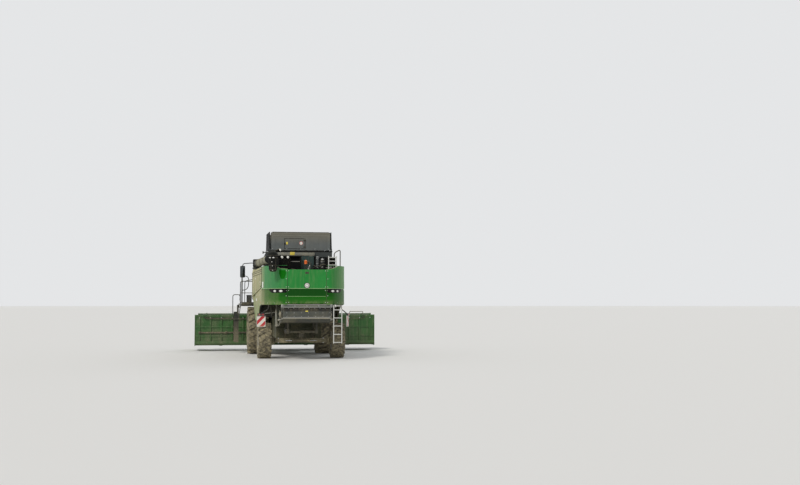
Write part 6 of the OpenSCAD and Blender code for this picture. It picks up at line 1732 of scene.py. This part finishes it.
class HARVESTER_OT_drives(bpy.types.Operator):
    """Adds the pulleys, belts and covers on both flanks of the threshing body and on the engine"""
    bl_idname = "harvester.drives"
    bl_label = "Belts and pulleys"

    def execute(self, context):
        table = ((-1, ((-3300, 2050, 150), (-2500, 1750, 210), (-1500, 1900, 180), (-600, 1750, 230))),
                 (1, ((-3500, 1900, 190), (-2300, 1800, 240), (-1100, 2000, 160), (-500, 1700, 220))))
        wheels, belts, hubs = bmesh.new(), bmesh.new(), bmesh.new()
        for s, spots in table:
            for k, (y, z, r) in enumerate(spots):
                x = 845 + 38 + 22 * (k % 2)
                bar((s * x, y, z), (s * (x + 44), y, z), r, 56, soft=5, bm=wheels)
                for c, d in circle(5):
                    p = y + c * r * 0.56, z + d * r * 0.56
                    bar((s * (x + 40), *p), (s * (x + 48), *p), r * 0.17, 20, bm=hubs)
                bar((s * 842, y, z), (s * (x + 70), y, z), 34, 24, soft=4, bm=hubs)
                ring((s * (x + 22), y, z), X, r, 9, 64, 6, bm=wheels)
            for a, b in zip(spots, spots[1:]):
                d = Vector((b[0] - a[0], b[1] - a[1])).normalized()
                n = Vector((-d.y, d.x))
                for side in SIDES:
                    p = (a[0] + n.x * a[2] * side, a[1] + n.y * a[2] * side)
                    q = (b[0] + n.x * b[2] * side, b[1] + n.y * b[2] * side)
                    strip([(s * 916, *p), (s * 916, *q)], 14, 6, X, bm=belts)
        made("flank_pulleys", "pulley_steel", bm=wheels)
        made("flank_hubs", "frame_paint", bm=hubs)
        made("flank_belts", "belt_rubber", bm=belts)
        for y, s in product((-4650, -3900, -2900, -1900, -900, 100), SIDES):
            box((s * 838, y - 20, 1480), (s * 850, y + 20, 2300), 4)
        for s in SIDES:
            box((s * 838, -4600, 2060), (s * 852, 300, 2090), 4)
        made("body_ribs", "body_paint")
        for y, s in product(range(-5240, -4140, 90), SIDES):
            box((s * 430, y, 2750), (s * 446, y + 44, 2960), 4)
        for x in (-300, -100, 100, 300):
            box((x - 70, -5312, 2560), (x + 70, -5296, 2900), 10)
        bar((0, -5300, 2640), (0, -5350, 2640), 140, 40, soft=6)
        bar((220, -5300, 2820), (220, -5345, 2820), 90, 36, soft=6)
        bar((-230, -5300, 2840), (-230, -5345, 2840), 75, 36, soft=6)
        made("engine_covers", "cast_iron")
        strip([(-230, -5330, 2915), (220, -5330, 2910)], 12, 5, Y)
        strip([(-300, -5330, 2810), (-130, -5330, 2590)], 12, 5, Y)
        strip([(305, -5330, 2790), (125, -5330, 2580)], 12, 5, Y)
        made("engine_belt", "belt_rubber")
        for k in range(4):
            hose([(-470, -4950 + k * 200, 2690), (-500, -4950 + k * 200, 2780), (-470, -4950 + k * 200, 2860),
                (-435, -4950 + k * 200, 2900)], 24, 12)
        sweep([(-520, -4950, 2720), (-525, -4650, 2740), (-520, -4350, 2720)], 36, 12)
        made("engine_manifold", "bare_steel")
        return {"FINISHED"}


CLASSES = [HarvesterColours, HarvesterSizes, HARVESTER_OT_stage, HARVESTER_OT_paint, HARVESTER_OT_hood,
           HARVESTER_OT_lamps, HARVESTER_OT_lids, HARVESTER_OT_deck, HARVESTER_OT_unloader,
           HARVESTER_OT_sides, HARVESTER_OT_fairing, HARVESTER_OT_wheels, HARVESTER_OT_running_gear,
           HARVESTER_OT_tail, HARVESTER_OT_platform, HARVESTER_OT_cab, HARVESTER_OT_seat,
           HARVESTER_OT_header, HARVESTER_OT_drives]


def operators():
    return [c for c in CLASSES if issubclass(c, bpy.types.Operator)]


class HARVESTER_PT_panel(bpy.types.Panel):
    """Colours, sizes and the steps that dress the machine"""
    bl_label = "Harvester"
    bl_idname = "HARVESTER_PT_panel"
    bl_space_type = "VIEW_3D"
    bl_region_type = "UI"
    bl_category = "Harvester"

    def draw(self, context):
        for group in (context.scene.harvester_colours, context.scene.harvester_sizes):
            part = self.layout.box()
            for key in group.__annotations__:
                part.prop(group, key)
        for op in operators():
            self.layout.operator(op.bl_idname)


def register():
    for c in (*CLASSES, HARVESTER_PT_panel):
        bpy.utils.register_class(c)
    bpy.types.Scene.harvester_colours = bpy.props.PointerProperty(type=HarvesterColours)
    bpy.types.Scene.harvester_sizes = bpy.props.PointerProperty(type=HarvesterSizes)


def unregister():
    del bpy.types.Scene.harvester_sizes
    del bpy.types.Scene.harvester_colours
    for c in reversed((*CLASSES, HARVESTER_PT_panel)):
        bpy.utils.unregister_class(c)


def main():
    register()
    for op in operators():
        group, name = op.bl_idname.split(".")
        if getattr(getattr(bpy.ops, group), name)() != {"FINISHED"}:
            raise RuntimeError(op.bl_label + " did not finish")


if __name__ == "__main__":
    main()
